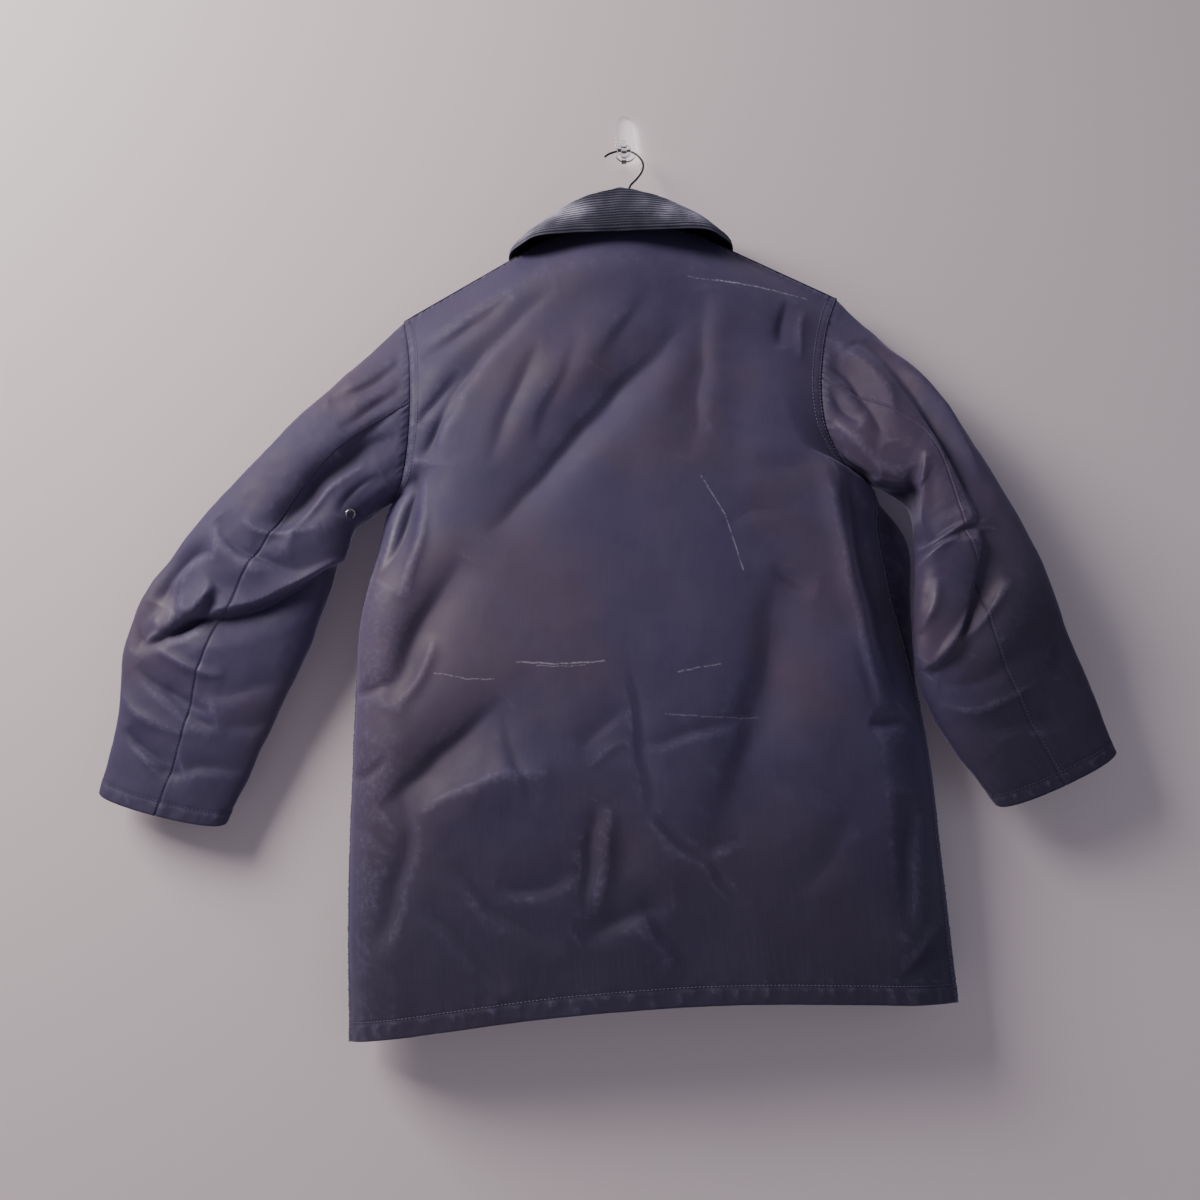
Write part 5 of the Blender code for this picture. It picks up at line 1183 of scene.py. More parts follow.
def hem_relief(panel, seed, turn_up):
    """A turned-up edge: thicker to its stitch line, which gathers the cloth."""
    away = panel.away["bottom"]
    thick = 0.0004 * smooth((turn_up - away) / 0.003)
    dip = -0.0006 * np.exp(-((away - turn_up) / 0.0018) ** 2)
    gathers = puckered(panel, "bottom", turn_up * 0.62, turn_up * 0.75, 0.0015, 0.0110, seed)
    return thick + dip + gathers


def front_panel(name):
    """One front, with the left one lapping over the right one."""
    if name == "front_left":
        lap = ((MIDDLE + LAP_RIGHT, 22), (MIDDLE + LAP_LEFT, 16))
        columns = runs((0.0, 0), (0.03, 6), (NECK_LEFT, 40), *lap)
    else:
        columns = runs((MIDDLE + LAP_RIGHT, 0), (NECK_RIGHT, 36), (0.97, 36), (1.0, 6))
    levels = runs((0.0, 0), (0.02, 4), (ARMHOLE, 40), (0.955, 96), (1.0, 10))
    v, u = np.meshgrid(levels, columns, indexing="ij")
    points = body_point(u, v, "front")
    if name == "front_left":
        points[..., 1] += LAP_LIFT * smooth((u - MIDDLE - LAP_START) / (LAP_RIGHT - LAP_START))
    panel = Panel(name, points[:, ::-1])
    x, z = panel.base[..., 0], panel.base[..., 2]
    seam = "end" if name == "front_left" else "start"
    opening = "start" if name == "front_left" else "end"
    quiet = panel.clear_of((seam,), 0.020) * panel.clear_of(("top",), 0.030)
    calm_lap = 0.25 + 0.75 * smooth((panel.away[opening] - 0.045) / 0.04)
    inside = panel.clear_of((opening,), 0.050) if name == "front_right" else 1.0
    height = creased(FRONT_CREASES, x, z) * quiet * calm_lap
    height += crumple(x, z, 13 if seam == "end" else 17, 0.060, 0.0012) * quiet * calm_lap
    height += crumple(x, z, 33, 0.026, 0.0004) * quiet * inside
    height = np.clip(height, -0.004, 0.0035)
    height += seam_relief(panel, seam, 0.0003, 75 if seam == "end" else 85)
    height += hem_relief(panel, 105 if seam == "end" else 107, 0.0185) * inside
    panel.raise_by(height)
    return panel


def sleeve_panels(side):
    """The top and under pieces of one sleeve."""
    creases = LEFT_SLEEVE_CREASES if side == "left" else RIGHT_SLEEVE_CREASES
    lips = LEFT_SLEEVE_LIPS if side == "left" else RIGHT_SLEEVE_LIPS
    seed = 200 if side == "left" else 300
    made = []
    for part, first, last, columns in (
        ("under", BACK_ARM_SEAM, FRONT_ARM_SEAM, 56),
        ("top", FRONT_ARM_SEAM, BACK_ARM_SEAM + RING_SIDES, 88),
    ):
        step = 0.3
        corners = runs((first, 0), (first + step, 5), (last - step, columns), (last, 5)) / RING_SIDES
        along, around = np.meshgrid(SLEEVE_ROWS, corners, indexing="ij")
        points = sleeve_point(side, around, along)
        if side == "right":
            points, around, along = points[:, ::-1], around[:, ::-1], along[:, ::-1]
        panel = Panel(f"sleeve_{side}_{part}", points)
        x, z = points[..., 0], points[..., 2]
        facing = smooth(0.5 + 1.6 * np.sin(2 * math.pi * around))
        quiet = panel.clear_of(("top",), 0.022)
        seam_calm = 0.25 + 0.75 * panel.clear_of(("start", "end"), 0.012)
        meet = panel.clear_of(("start", "end"), 0.004)
        cuff_calm = 0.3 + 0.7 * smooth(panel.away["bottom"] / 0.05)
        height = 1.5 * creased(creases, x, z) * facing * quiet * cuff_calm
        puff, slide_x, slide_z = lipped(lips, x, z)
        height += puff * facing * quiet
        behind = 1 - facing
        back_waves = ripple(x / 0.045 + 4, z / 0.030, seed + 40)
        height += 0.0022 * back_waves * behind * quiet * cuff_calm
        height += crumple(x, z, seed, 0.070, 0.0010) * quiet * cuff_calm * seam_calm
        height += crumple(x, z, seed + 20, 0.026, 0.0003) * quiet * cuff_calm * meet
        height += seam_relief(panel, "top", 0.0, seed + 60)
        for edge in ("start", "end"):
            dip = -0.0003 * np.exp(-(panel.away[edge] / 0.0014) ** 2)
            height += dip + puckered(panel, edge, 0.003, 0.007, 0.0004, 0.009, seed + 70) * meet
        height += hem_relief(panel, seed + 80, 0.0150)
        slide = facing * quiet
        panel.raise_by(height, slide_x * slide, slide_z * slide)
        made.append(panel)
    return made


def collar_panel():
    """The turned-down collar, with its corduroy wales as relief."""
    wale = 0.0037
    steps = runs((0.0, 0), (STAND_SHARE, 26), (0.44, 22), (1.0, 132))
    step, turn = np.meshgrid(steps, np.linspace(-1.0, 1.0, 209), indexing="ij")
    panel = Panel("collar", collar_point(turn, step))
    away = panel.away["bottom"]
    waver = 0.0006 * ripple(turn * 9, away / 0.02, 401)
    phase = (away + waver) / wale
    crest = 0.5 + 0.5 * np.cos(2 * math.pi * phase)
    panel.crest = crest ** 0.7
    on_fall = smooth((step - STAND_SHARE + 0.12) / 0.08)
    edge = smooth(away / 0.0030)
    height = 0.0013 + 0.0009 * panel.crest * on_fall * edge
    height -= 0.0008 * (1 - smooth(away / 0.0025))
    swell = ripple(turn * 4.2, step * 1.6, 402) + 0.5 * ripple(turn * 11, step * 3.0, 403)
    height += 0.0016 * swell * smooth((step - 0.3) / 0.2) * (1 - 0.5 * smooth((step - 0.9) / 0.1))
    height += 0.0010 * np.exp(-((away - 0.009) / 0.004) ** 2) * on_fall
    ends = smooth((1 - np.abs(turn)) / 0.03)
    # The fall swells over the front of each shoulder, and droops just behind it.
    fall = smooth((step - STAND_SHARE) / 0.12)
    height += 0.0055 * np.exp(-((np.abs(turn) - 0.64) / 0.09) ** 2) * fall
    droop = 0.0045 * np.exp(-((np.abs(turn) - 0.43) / 0.09) ** 2) * smooth((step - 0.55) / 0.45)
    # The foot of the stand reaches down over the neck seam.
    foot = 0.0042 * (1 - smooth(step / 0.12))
    panel.raise_by(height * ends, slide_z=-droop - foot)
    return panel


PANELS = {}


def make_cloth(context, panel, materials, wear_and_shade, polish):
    """Turn a panel into its finished piece."""
    cloth = context.scene.jacket_cloth
    mesh = cloth_mesh(panel, cloth.thickness, wear_and_shade, polish)
    mesh.name = panel.name + "_cloth"
    piece = link(panel.name + "_cloth", mesh, *materials)
    declare(piece, [panel.name])
    PANELS[panel.name] = panel
    return piece


def make_cotton(context, panel, spots, material_name="waxed cotton", marks=()):
    """A piece of waxed cotton with its polished spots."""
    x, z = panel.points[..., 0], panel.points[..., 2]
    polish = polished(spots, x, z)
    return make_cloth(context, panel, cloth_materials(material_name, marks),
                      ridge_wear_and_hollow_shade(panel), polish)


# ---- Stitches ---------------------------------------------------------------------
# Each row is a line of stitches at a distance from an edge of a panel.
Row = namedtuple("Row", "panel side distance start end")
BODY_ROWS = (
    Row("back", "start", 0.0025, 0.29, 1.0),
    Row("back", "start", 0.0085, 0.29, 1.0),
    Row("back", "end", 0.0025, 0.29, 1.0),
    Row("back", "end", 0.0085, 0.29, 1.0),
    Row("back", "start", 0.0022, 0.0, 0.27),
    Row("back", "start", 0.0110, 0.0, 0.27),
    Row("back", "end", 0.0022, 0.0, 0.27),
    Row("back", "end", 0.0110, 0.0, 0.27),
    Row("back", "bottom", 0.0185, 0.0, 1.0),
    Row("front_left", "bottom", 0.0185, 0.0, 1.0),
    Row("front_right", "bottom", 0.0185, 0.0, 1.0),
    Row("front_left", "start", 0.0030, 0.03, 1.0),
    Row("front_left", "start", 0.0420, 0.03, 1.0),
    Row("front_left", "end", 0.0025, 0.29, 1.0),
    Row("front_right", "start", 0.0025, 0.29, 1.0),
)
SLEEVE_STITCH_ROWS = (
    Row("top", "seam", 0.0025, 0.0, 1.0),
    Row("top", "bottom", 0.0150, 0.0, 1.0),
    Row("under", "bottom", 0.0150, 0.0, 1.0),
    Row("under", "seam", 0.0025, 0.0, 1.0),
)
COLLAR_ROWS = (
    Row("collar", "bottom", 0.0055, 0.01, 0.99),
)


def stitch_tree():
    """Node tree: small threads laid end to end, with gaps, along lines of stitching."""
    tree = bpy.data.node_groups.new("Stitches", "GeometryNodeTree")
    tree.interface.new_socket("Geometry", in_out="INPUT", socket_type="NodeSocketGeometry")
    for name in ("Pitch", "Length", "Thread"):
        tree.interface.new_socket(name, in_out="INPUT", socket_type="NodeSocketFloat")
    tree.interface.new_socket("Material", in_out="INPUT", socket_type="NodeSocketMaterial")
    tree.interface.new_socket("Geometry", in_out="OUTPUT", socket_type="NodeSocketGeometry")
    given = add(tree, "NodeGroupInput").outputs
    lines = add(tree, "GeometryNodeMeshToCurve", {"Mesh": given["Geometry"]}).outputs[0]
    spaced = add(tree, "GeometryNodeResampleCurve", {"Curve": lines, "Length": given["Pitch"]}, mode="LENGTH")
    outward = add(tree, "GeometryNodeInputNamedAttribute", {"Name": "outward"}, data_type="FLOAT_VECTOR")
    along = add(tree, "GeometryNodeInputTangent").outputs[0]
    turn = add(tree, "FunctionNodeAxesToRotation",
               {"Primary Axis": along, "Secondary Axis": outward.outputs["Attribute"]},
               primary_axis="X", secondary_axis="Z").outputs[0]
    bead = add(tree, "GeometryNodeMeshUVSphere", {"Segments": 6, "Rings": 4, "Radius": 0.5}).outputs[0]
    size = add(tree, "ShaderNodeCombineXYZ",
               {"X": given["Length"], "Y": given["Thread"], "Z": given["Thread"]}).outputs[0]
    threads = add(tree, "GeometryNodeInstanceOnPoints",
                  {"Points": spaced.outputs[0], "Instance": bead, "Rotation": turn, "Scale": size}).outputs[0]
    real = add(tree, "GeometryNodeRealizeInstances", {"Geometry": threads}).outputs[0]
    smoothed = add(tree, "GeometryNodeSetShadeSmooth", {"Geometry": real}).outputs[0]
    done = add(tree, "GeometryNodeSetMaterial", {"Geometry": smoothed, "Material": given["Material"]})
    add(tree, "NodeGroupOutput", {"Geometry": done.outputs[0]})
    return tree


def sewn(context, name, lines, material):
    """One piece of thread for all the lines of stitching given."""
    stitch = context.scene.jacket_stitches
    coords, edges, outs = [], [], []
    for points, outward in lines:
        first = len(coords)
        coords += [tuple(p) for p in points]
        outs += [tuple(o) for o in outward]
        edges += [(first + k, first + k + 1) for k in range(len(points) - 1)]
    paths = bpy.data.meshes.new(name + "_paths")
    paths.from_pydata(coords, edges, [])
    data = paths.attributes.new("outward", "FLOAT_VECTOR", "POINT").data
    data.foreach_set("vector", np.array(outs, np.float32).ravel())
    item = bpy.data.objects.new(name + "_paths", paths)
    context.scene.collection.objects.link(item)
    tree = bpy.data.node_groups.get("Stitches") or stitch_tree()
    modifier = item.modifiers.new("Stitches", "NODES")
    modifier.node_group = tree
    inputs = {s.name: s.identifier for s in tree.interface.items_tree if s.in_out == "INPUT"}
    modifier[inputs["Pitch"]] = stitch.pitch
    modifier[inputs["Length"]] = stitch.length
    modifier[inputs["Thread"]] = stitch.thread
    modifier[inputs["Material"]] = material
    context.view_layer.update()
    mesh = bpy.data.meshes.new_from_object(item.evaluated_get(context.evaluated_depsgraph_get()))
    if not mesh.polygons:
        raise RuntimeError(f"{name} has no stitches")
    bpy.data.objects.remove(item, do_unlink=True)
    mesh.name = name
    piece = bpy.data.objects.new(name, mesh)
    context.scene.collection.objects.link(piece)
    declare(piece, [])
    return piece


def sleeve_side(side, which):
    """Name of a sleeve panel's edge. Each seam is stitched on one of its two pieces, along
    the edge where the left piece's columns end; the right ones run the other way."""
    seam = "end" if side == "left" else "start"
    return seam if which == "seam" else which


# ---- Trims, hanger and hook -------------------------------------------------------
def turned(name, profile, place, axis, sides, ring):
    """Round piece: the profile's (radius, height) points turned round an axis.
    ring joins its last circle to its first one and leaves a hole."""
    turn = Vector((0, 0, 1)).rotation_difference(axis)
    bm = bmesh.new()
    circles = []
    for radius, height in profile:
        circle = []
        for k in range(sides):
            angle = 2 * math.pi * k / sides
            spot = Vector((radius * math.cos(angle), radius * math.sin(angle), height))
            circle.append(bm.verts.new(place + turn @ spot))
        circles.append(circle)
    pairs = list(zip(circles, circles[1:]))
    if ring:
        pairs.append((circles[-1], circles[0]))
    else:
        bm.faces.new(circles[0])
        bm.faces.new(circles[-1])
    for low, high in pairs:
        for k in range(sides):
            bm.faces.new((low[k], low[(k + 1) % sides], high[(k + 1) % sides], high[k]))
    bmesh.ops.recalc_face_normals(bm, faces=bm.faces)
    mesh = bpy.data.meshes.new(name)
    bm.to_mesh(mesh)
    bm.free()
    mesh.shade_smooth()
    mesh.set_sharp_from_angle(angle=math.radians(40))
    return mesh


def seat(panel, node):
    """Spot and outward normal of the cloth nearest to the middle of a solid."""
    low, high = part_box(node)
    middle = np.array((low + high) / 2)
    far = np.linalg.norm(panel.points - middle, axis=-1)
    row, column = np.unravel_index(np.argmin(far), far.shape)
    normal = grid_normals(panel.base)[row, column]
    return Vector(panel.points[row, column]), Vector(normal).normalized()


def shoulder_height(x):
    """Height of the shoulder line over the place x."""
    left = (x - LEFT_EDGE[0].x) / (CENTRE_X - NECK_REACH - LEFT_EDGE[0].x)
    right = (RIGHT_EDGE[0].x - x) / (RIGHT_EDGE[0].x - CENTRE_X - NECK_REACH)
    if x < CENTRE_X:
        return LEFT_EDGE[0].z + (NECK_POINT_Z - LEFT_EDGE[0].z) * left
    return RIGHT_EDGE[0].z + (NECK_POINT_Z - RIGHT_EDGE[0].z) * right


def rounded_path(points, radii, pieces=10):
    """Polyline through the points with each inner corner turned on its radius."""
    path = [Vector(points[0])]
    for before, corner, after, radius in zip(points, points[1:], points[2:], radii):
        before, corner, after = Vector(before), Vector(corner), Vector(after)
        to_before = (before - corner).normalized()
        to_after = (after - corner).normalized()
        for k in range(pieces + 1):
            f = k / pieces
            start, end = corner + to_before * radius, corner + to_after * radius
            path.append(start * (1 - f) ** 2 + corner * 2 * f * (1 - f) + end * f * f)
    path.append(Vector(points[-1]))
    return path


HOOK = (
    (-0.026, -0.0145, -0.0325), (-0.020, -0.0145, -0.0285), (-0.011, -0.0145, -0.0258),
    (-0.0025, -0.0148, -0.0252), (0.007, -0.0165, -0.0285), (0.0155, -0.0200, -0.0375),
    (0.0195, -0.0255, -0.0500), (0.0175, -0.0320, -0.0630), (0.0105, -0.0385, -0.0760),
    (0.003, -0.0430, -0.0860), (0.0, -0.0455, -0.0940),
)


def hanger_path():
    """The one wire: hook, neck, left arm, bottom bar, right arm and its twist."""
    arm_left, arm_right = HANGER_X - ARM_REACH, HANGER_X + ARM_REACH
    neck_x = HANGER_X + 0.003
    apex_z = shoulder_height(neck_x) - WIRE_DROP
    left_z = shoulder_height(arm_left) - WIRE_DROP
    right_z = shoulder_height(arm_right) - WIRE_DROP
    bar_z = min(left_z, right_z) - BAR_DROP
    knots, fine = np.linspace(0, 1, len(HOOK)), np.linspace(0, 1, 80)
    curve = np.stack([spline(knots, [p[k] for p in HOOK], fine) for k in range(3)], axis=-1)
    behind = HANGER_Y - WIRE - 0.0006
    legs = (
        (neck_x, HANGER_Y, apex_z + 0.004),
        (neck_x, HANGER_Y, apex_z),
        (arm_left, HANGER_Y, left_z),
        (arm_left - 0.010, HANGER_Y, bar_z),
        (arm_right + 0.010, HANGER_Y, bar_z),
        (arm_right, HANGER_Y, right_z),
        (neck_x + 0.002, behind, apex_z - 0.001),
        (neck_x + 0.001, behind, apex_z + 0.010),
    )
    return [Vector(p) for p in curve] + rounded_path(legs, (0.003, 0.008, 0.008, 0.008, 0.008, 0.004))


def copied(node, name):
    """A copy of a solid's mesh, with its shared corners joined."""
    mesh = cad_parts[node].data.copy()
    mesh.name = name
    mesh.materials.clear()
    bm = bmesh.new()
    bm.from_mesh(mesh)
    bmesh.ops.remove_doubles(bm, verts=bm.verts, dist=0.00002)
    bm.to_mesh(mesh)
    bm.free()
    return mesh


# ---- Stage ------------------------------------------------------------------------
# Where the camera stands, and the planes and sides of the wall and the floor.
CAMERA = (-0.052, -1.35, -0.81)
WALL_AT, WALL_SIDE, WALL_TOP, FLOOR_AT = 0.003, 3.0, 1.6, -2.0
FLOOR_SIDE, FLOOR_FRONT, FLOOR_BACK = 4.0, -5.0, 4.0

# The lights: square ones, each aimed at a point of the jacket.
Lamp = namedtuple("Lamp", "name size place aim colour")
KEY_LIGHT = Lamp("key_light", 1.1, (-1.60, -1.15, 0.70), (-0.03, -0.05, -0.55), "#FFF6EC")
FILL_LIGHT = Lamp("fill_light", 1.4, (1.5, -1.6, -0.9), (0.0, -0.05, -0.6), "#E8ECFF")
FRONT_LIGHT = Lamp("front_light", 1.6, (-0.6, 1.7, 0.3), (0.0, 0.0, -0.55), "#FFFFFF")
ROOM_COLOUR = "#D6D4E0"


def flat_sheet(name, corners):
    """Single flat face of the stage."""
    mesh = bpy.data.meshes.new(name)
    mesh.from_pydata(corners, [], [(0, 1, 2, 3)])
    return link(name, mesh)


def backdrop_paint(name, code):
    """Wall paint that is clear from behind, so that the front can be looked at."""
    material, tree, shader = new_material(name)
    shader.inputs["Base Color"].default_value = linear(code)
    shader.inputs["Roughness"].default_value = 0.85
    clear = add(tree, "ShaderNodeBsdfTransparent")
    behind = add(tree, "ShaderNodeNewGeometry").outputs["Backfacing"]
    both = add(tree, "ShaderNodeMixShader", (behind, shader, clear))
    exit_node = next(node for node in tree.nodes if node.type == "OUTPUT_MATERIAL")
    tree.links.new(both.outputs[0], exit_node.inputs["Surface"])
    return material


def light_up(context, lamp, power):
    """Switch on one of the lights."""
    light = bpy.data.lights.new(lamp.name, "AREA")
    light.energy = power
    light.size = lamp.size
    light.color = linear(lamp.colour)[:3]
    item = bpy.data.objects.new(lamp.name, light)
    item.location = lamp.place
    item.rotation_euler = (Vector(lamp.aim) - Vector(lamp.place)).to_track_quat("-Z", "Y").to_euler()
    context.scene.collection.objects.link(item)


# ---- Settings and operators -------------------------------------------------------
class JacketCloth(bpy.types.PropertyGroup):
    """Sizes of the cloth."""

    thickness: bpy.props.FloatProperty(
        name="Thickness", description="Thickness of the waxed cotton with its lining",
        default=0.0017, min=0.0008, max=0.003, subtype="DISTANCE", unit="LENGTH")


class JacketStitches(bpy.types.PropertyGroup):
    """Sizes of the stitching."""

    pitch: bpy.props.FloatProperty(
        name="Pitch", description="From one stitch to the next",
        default=0.0040, subtype="DISTANCE", unit="LENGTH")
    length: bpy.props.FloatProperty(
        name="Length", description="Length of a stitch that shows",
        default=0.0030, subtype="DISTANCE", unit="LENGTH")
    thread: bpy.props.FloatProperty(
        name="Thread", description="Thickness of the thread",
        default=0.0009, subtype="DISTANCE", unit="LENGTH")


class JacketStage(bpy.types.PropertyGroup):
    """Light and camera."""

    key: bpy.props.FloatProperty(
        name="Key light", description="Power of the large light at the upper left",
        default=76.0, unit="POWER")
    fill: bpy.props.FloatProperty(
        name="Fill light", description="Power of the weak light at the lower right",
        default=4.0, unit="POWER")
    front: bpy.props.FloatProperty(
        name="Front light", description="Power of the light on the wall side, for looks at the front",
        default=26.0, unit="POWER")
    sky: bpy.props.FloatProperty(
        name="Room light", description="Strength of the even light from all round",
        default=0.27, min=0.0)
    pitch: bpy.props.FloatProperty(
        name="Pitch", description="How far the camera looks up", default=math.radians(10),
        subtype="ANGLE", unit="ROTATION")
    roll: bpy.props.FloatProperty(
        name="Roll", description="How far the camera leans", default=math.radians(2.2),
        subtype="ANGLE", unit="ROTATION")
    lens: bpy.props.FloatProperty(
        name="Lens", description="Focal length on a 36 mm sensor", default=36.06,
        subtype="DISTANCE_CAMERA", unit="CAMERA")


class JACKET_OT_body(bpy.types.Operator):
    """Build the back and the two fronts"""

    bl_idname = "jacket.body"
    bl_label = "Body"

    def execute(self, context):
        fine_marks = "waxed cotton, rubbed back"
        back = make_cotton(context, back_panel(), BACK_POLISH, fine_marks, MARKS)
        for name in ("front_left", "front_right"):
            make_cotton(context, front_panel(name), BACK_POLISH)
        return {"FINISHED"}


class JACKET_OT_sleeves(bpy.types.Operator):
    """Build the two-piece sleeves"""

    bl_idname = "jacket.sleeves"
    bl_label = "Sleeves"

    def execute(self, context):
        for side in ("left", "right"):
            for panel in sleeve_panels(side):
                piece = make_cotton(context, panel, SLEEVE_POLISH)
        return {"FINISHED"}


class JACKET_OT_collar(bpy.types.Operator):
    """Build the corduroy collar"""

    bl_idname = "jacket.collar"
    bl_label = "Collar"

    def execute(self, context):
        panel = collar_panel()
        x, z = panel.points[..., 0], panel.points[..., 2]
        rubbed = polished(COLLAR_RUBBED, x, z)
        rubbed = np.clip(rubbed + 0.06 + 0.08 * ripple(x / 0.02, z / 0.02, 411), 0.0, 1.0)
        finish = corduroy()
        piece = make_cloth(context, panel, (finish, finish), panel.crest, rubbed)
        return {"FINISHED"}


class JACKET_OT_stitches(bpy.types.Operator):
    """Sew the rows of stitches on every panel"""

    bl_idname = "jacket.stitches"
    bl_label = "Stitches"

    def execute(self, context):
        thread = sewing_thread("navy sewing thread", "#6A6786")
        faint = sewing_thread("dark navy sewing thread", "#454261")
        dark = sewing_thread("black sewing thread", "#23222F")
        lines = [PANELS[r.panel].line(r.side, r.distance, r.start, r.end) for r in BODY_ROWS]
        sewn(context, "stitches_body", lines, thread)
        for side in ("left", "right"):
            lines = [
                PANELS[f"sleeve_{side}_{r.panel}"].line(sleeve_side(side, r.side), r.distance, r.start, r.end)
                for r in SLEEVE_STITCH_ROWS
            ]
            sewn(context, f"stitches_sleeve_{side}", lines, faint)
        lines = [PANELS[r.panel].line(r.side, r.distance, r.start, r.end) for r in COLLAR_ROWS]
        sewn(context, "stitches_collar", lines, dark)
        return {"FINISHED"}


class JACKET_OT_trims(bpy.types.Operator):
    """Set the press studs and the vent eyelet on the cloth"""

    bl_idname = "jacket.trims"
    bl_label = "Studs and eyelet"

    def execute(self, context):
        brass = aged_brass("aged brass cap", "#8C744A", "#4C3C28", 0.30)
        cap = (
            (0.0075, -0.0006), (0.0075, 0.0006), (0.0072, 0.0011), (0.0064, 0.0013),
            (0.0058, 0.0011), (0.0050, 0.0015), (0.0036, 0.0019), (0.0018, 0.0021),
        )
        for number in range(1, 6):
            spot, normal = seat(PANELS["front_left"], f"stud_{number}")
            mesh = turned(f"stud_{number}_cap", cap, spot, normal, 40, False)
            piece = link(f"stud_{number}_cap", mesh, brass)
            declare(piece, [f"stud_{number}"])
        ring = (
            (0.0060, -0.0006), (0.0060, 0.0004), (0.0056, 0.0010), (0.0050, 0.0012),
            (0.0043, 0.0010), (0.0038, 0.0004), (0.0038, -0.0006),
        )
        silver = aged_brass("worn nickelled brass", "#B9B6B2", "#6E6A66", 0.28)
        spot, normal = seat(PANELS["sleeve_left_under"], "eyelet_left")
        mesh = turned("eyelet_ring", ring, spot, normal, 40, True)
        declare(link("eyelet_ring", mesh, silver), ["eyelet_left"])
        return {"FINISHED"}


class JACKET_OT_hanger(bpy.types.Operator):
    """Bend the wire hanger"""

    bl_idname = "jacket.hanger"
    bl_label = "Hanger"

    def execute(self, context):
        path = hanger_path()
        curve = bpy.data.curves.new("hanger_path", "CURVE")
        curve.dimensions = "3D"
        curve.bevel_depth = WIRE / 2
        curve.bevel_resolution = 4
        curve.use_fill_caps = True
        line = curve.splines.new("POLY")
        line.points.add(len(path) - 1)
        for point, spot in zip(line.points, path):
            point.co = (*spot, 1.0)
        item = bpy.data.objects.new("hanger_path", curve)
        context.scene.collection.objects.link(item)
        context.view_layer.update()
        mesh = bpy.data.meshes.new_from_object(item.evaluated_get(context.evaluated_depsgraph_get()))
        bpy.data.objects.remove(item, do_unlink=True)
        if not mesh.polygons:
            raise RuntimeError("the hanger has no wire")
        mesh.name = "hanger_wire"
        mesh.shade_smooth()
        piece = link("hanger_wire", mesh, enamelled_steel())
        declare(piece, ["hanger"])
        return {"FINISHED"}


class JACKET_OT_wall_hook(bpy.types.Operator):
    """Mould the clear wall hook"""

    bl_idname = "jacket.wall_hook"
    bl_label = "Wall hook"

    def execute(self, context):
        mesh = copied("wall_hook", "wall_hook_clear")
        bm = bmesh.new()
        bm.from_mesh(mesh)
        bmesh.ops.dissolve_limit(bm, angle_limit=math.radians(1), verts=bm.verts, edges=bm.edges)
        rims = [e for e in bm.edges if len(e.link_faces) == 2 and e.calc_face_angle() > math.radians(50)]
        bmesh.ops.bevel(bm, geom=rims, offset=0.0007, segments=3, profile=0.5, affect="EDGES",
                        clamp_overlap=True)
        if any(len(edge.link_faces) != 2 for edge in bm.edges):
            raise RuntimeError("the wall hook has open edges")
        bm.to_mesh(mesh)
        bm.free()
        mesh.shade_smooth()
        mesh.set_sharp_from_angle(angle=math.radians(35))
        piece = link("wall_hook_clear", mesh, clear_plastic())
        piece.visible_shadow = False
        declare(piece, ["wall_hook"])
        return {"FINISHED"}


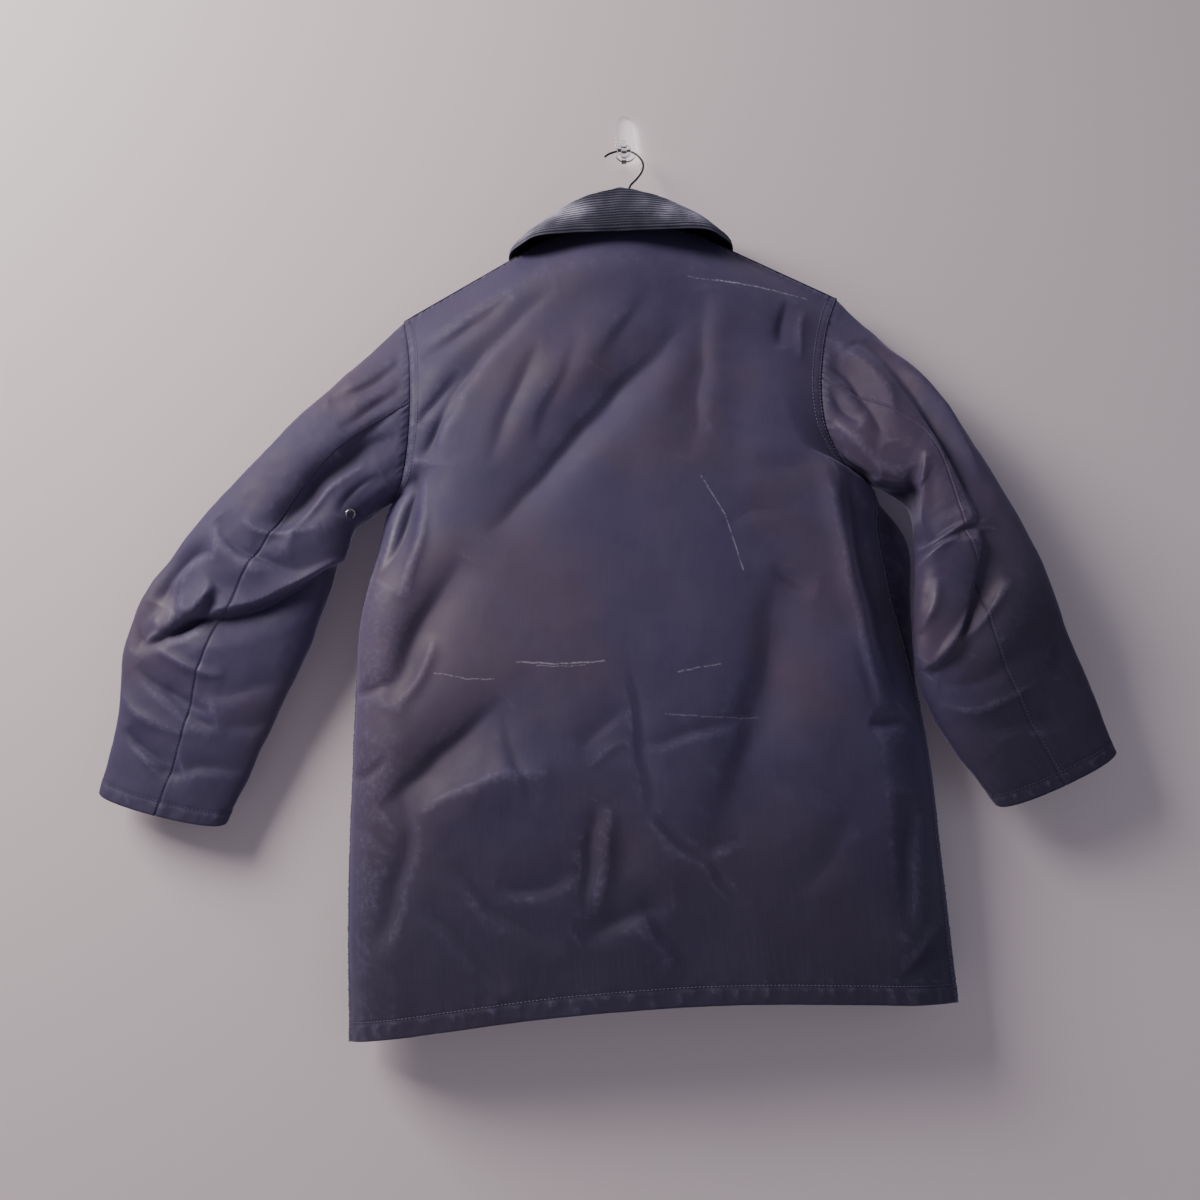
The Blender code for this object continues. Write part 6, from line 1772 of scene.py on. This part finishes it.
class JACKET_OT_stage(bpy.types.Operator):
    """Set the floor, the backdrop, the lights and the camera"""

    bl_idname = "jacket.stage"
    bl_label = "Stage"

    def execute(self, context):
        stage = context.scene.jacket_stage
        wall = flat_sheet("backdrop", (
            (-WALL_SIDE, WALL_AT, FLOOR_AT), (WALL_SIDE, WALL_AT, FLOOR_AT),
            (WALL_SIDE, WALL_AT, WALL_TOP), (-WALL_SIDE, WALL_AT, WALL_TOP),
        ))
        wall.data.materials.append(backdrop_paint("pale wall paint", "#CCC3CB"))
        # The wall casts no shadow and throws no light back, so it doesn't dim the front.
        wall.visible_shadow = False
        wall.visible_diffuse = False
        floor = flat_sheet("floor", (
            (-FLOOR_SIDE, FLOOR_FRONT, FLOOR_AT), (FLOOR_SIDE, FLOOR_FRONT, FLOOR_AT),
            (FLOOR_SIDE, FLOOR_BACK, FLOOR_AT), (-FLOOR_SIDE, FLOOR_BACK, FLOOR_AT),
        ))
        floor.data.materials.append(studio_paint("pale floor paint", "#D2CCD0"))
        light_up(context, KEY_LIGHT, stage.key)
        light_up(context, FILL_LIGHT, stage.fill)
        light_up(context, FRONT_LIGHT, stage.front)
        world = bpy.data.worlds.new("room_light")
        world.use_nodes = True
        world.node_tree.nodes["Background"].inputs["Color"].default_value = linear(ROOM_COLOUR)
        world.node_tree.nodes["Background"].inputs["Strength"].default_value = stage.sky
        context.scene.world = world
        camera = bpy.data.cameras.new("camera")
        camera.lens = stage.lens
        camera.sensor_width = 36.0
        camera.clip_start = 0.02
        eye = bpy.data.objects.new("camera", camera)
        forward = Vector((0, math.cos(stage.pitch), math.sin(stage.pitch)))
        above = Vector((0, -math.sin(stage.pitch), math.cos(stage.pitch)))
        right = Vector((1, 0, 0))
        x_axis = right * math.cos(stage.roll) - above * math.sin(stage.roll)
        y_axis = right * math.sin(stage.roll) + above * math.cos(stage.roll)
        turn = Matrix((x_axis, y_axis, -forward)).transposed().to_4x4()
        eye.matrix_world = Matrix.Translation(CAMERA) @ turn
        context.scene.collection.objects.link(eye)
        context.scene.camera = eye
        return {"FINISHED"}


OPERATORS = (
    JACKET_OT_body,
    JACKET_OT_sleeves,
    JACKET_OT_collar,
    JACKET_OT_stitches,
    JACKET_OT_trims,
    JACKET_OT_hanger,
    JACKET_OT_wall_hook,
    JACKET_OT_stage,
)


class JACKET_PT_panel(bpy.types.Panel):
    """Sizes and steps of the jacket"""

    bl_idname = "JACKET_PT_panel"
    bl_label = "Waxed Cotton Jacket"
    bl_space_type = "VIEW_3D"
    bl_region_type = "UI"
    bl_category = "Jacket"

    def draw(self, context):
        for name in ("jacket_cloth", "jacket_stitches", "jacket_stage"):
            box = self.layout.box()
            group = getattr(context.scene, name)
            for field in group.bl_rna.properties.keys():
                if field not in ("rna_type", "name"):
                    box.prop(group, field)
        for operator in OPERATORS:
            self.layout.operator(operator.bl_idname)


GROUPS = (
    ("jacket_cloth", JacketCloth),
    ("jacket_stitches", JacketStitches),
    ("jacket_stage", JacketStage),
)


def register():
    for name, group in GROUPS:
        bpy.utils.register_class(group)
        setattr(bpy.types.Scene, name, bpy.props.PointerProperty(type=group))
    for kind in (*OPERATORS, JACKET_PT_panel):
        bpy.utils.register_class(kind)


def unregister():
    for kind in (JACKET_PT_panel, *reversed(OPERATORS)):
        bpy.utils.unregister_class(kind)
    for name, group in reversed(GROUPS):
        delattr(bpy.types.Scene, name)
        bpy.utils.unregister_class(group)


def main():
    register()
    for operator in OPERATORS:
        group, name = operator.bl_idname.split(".")
        getattr(getattr(bpy.ops, group), name)()


if __name__ == "__main__":
    main()
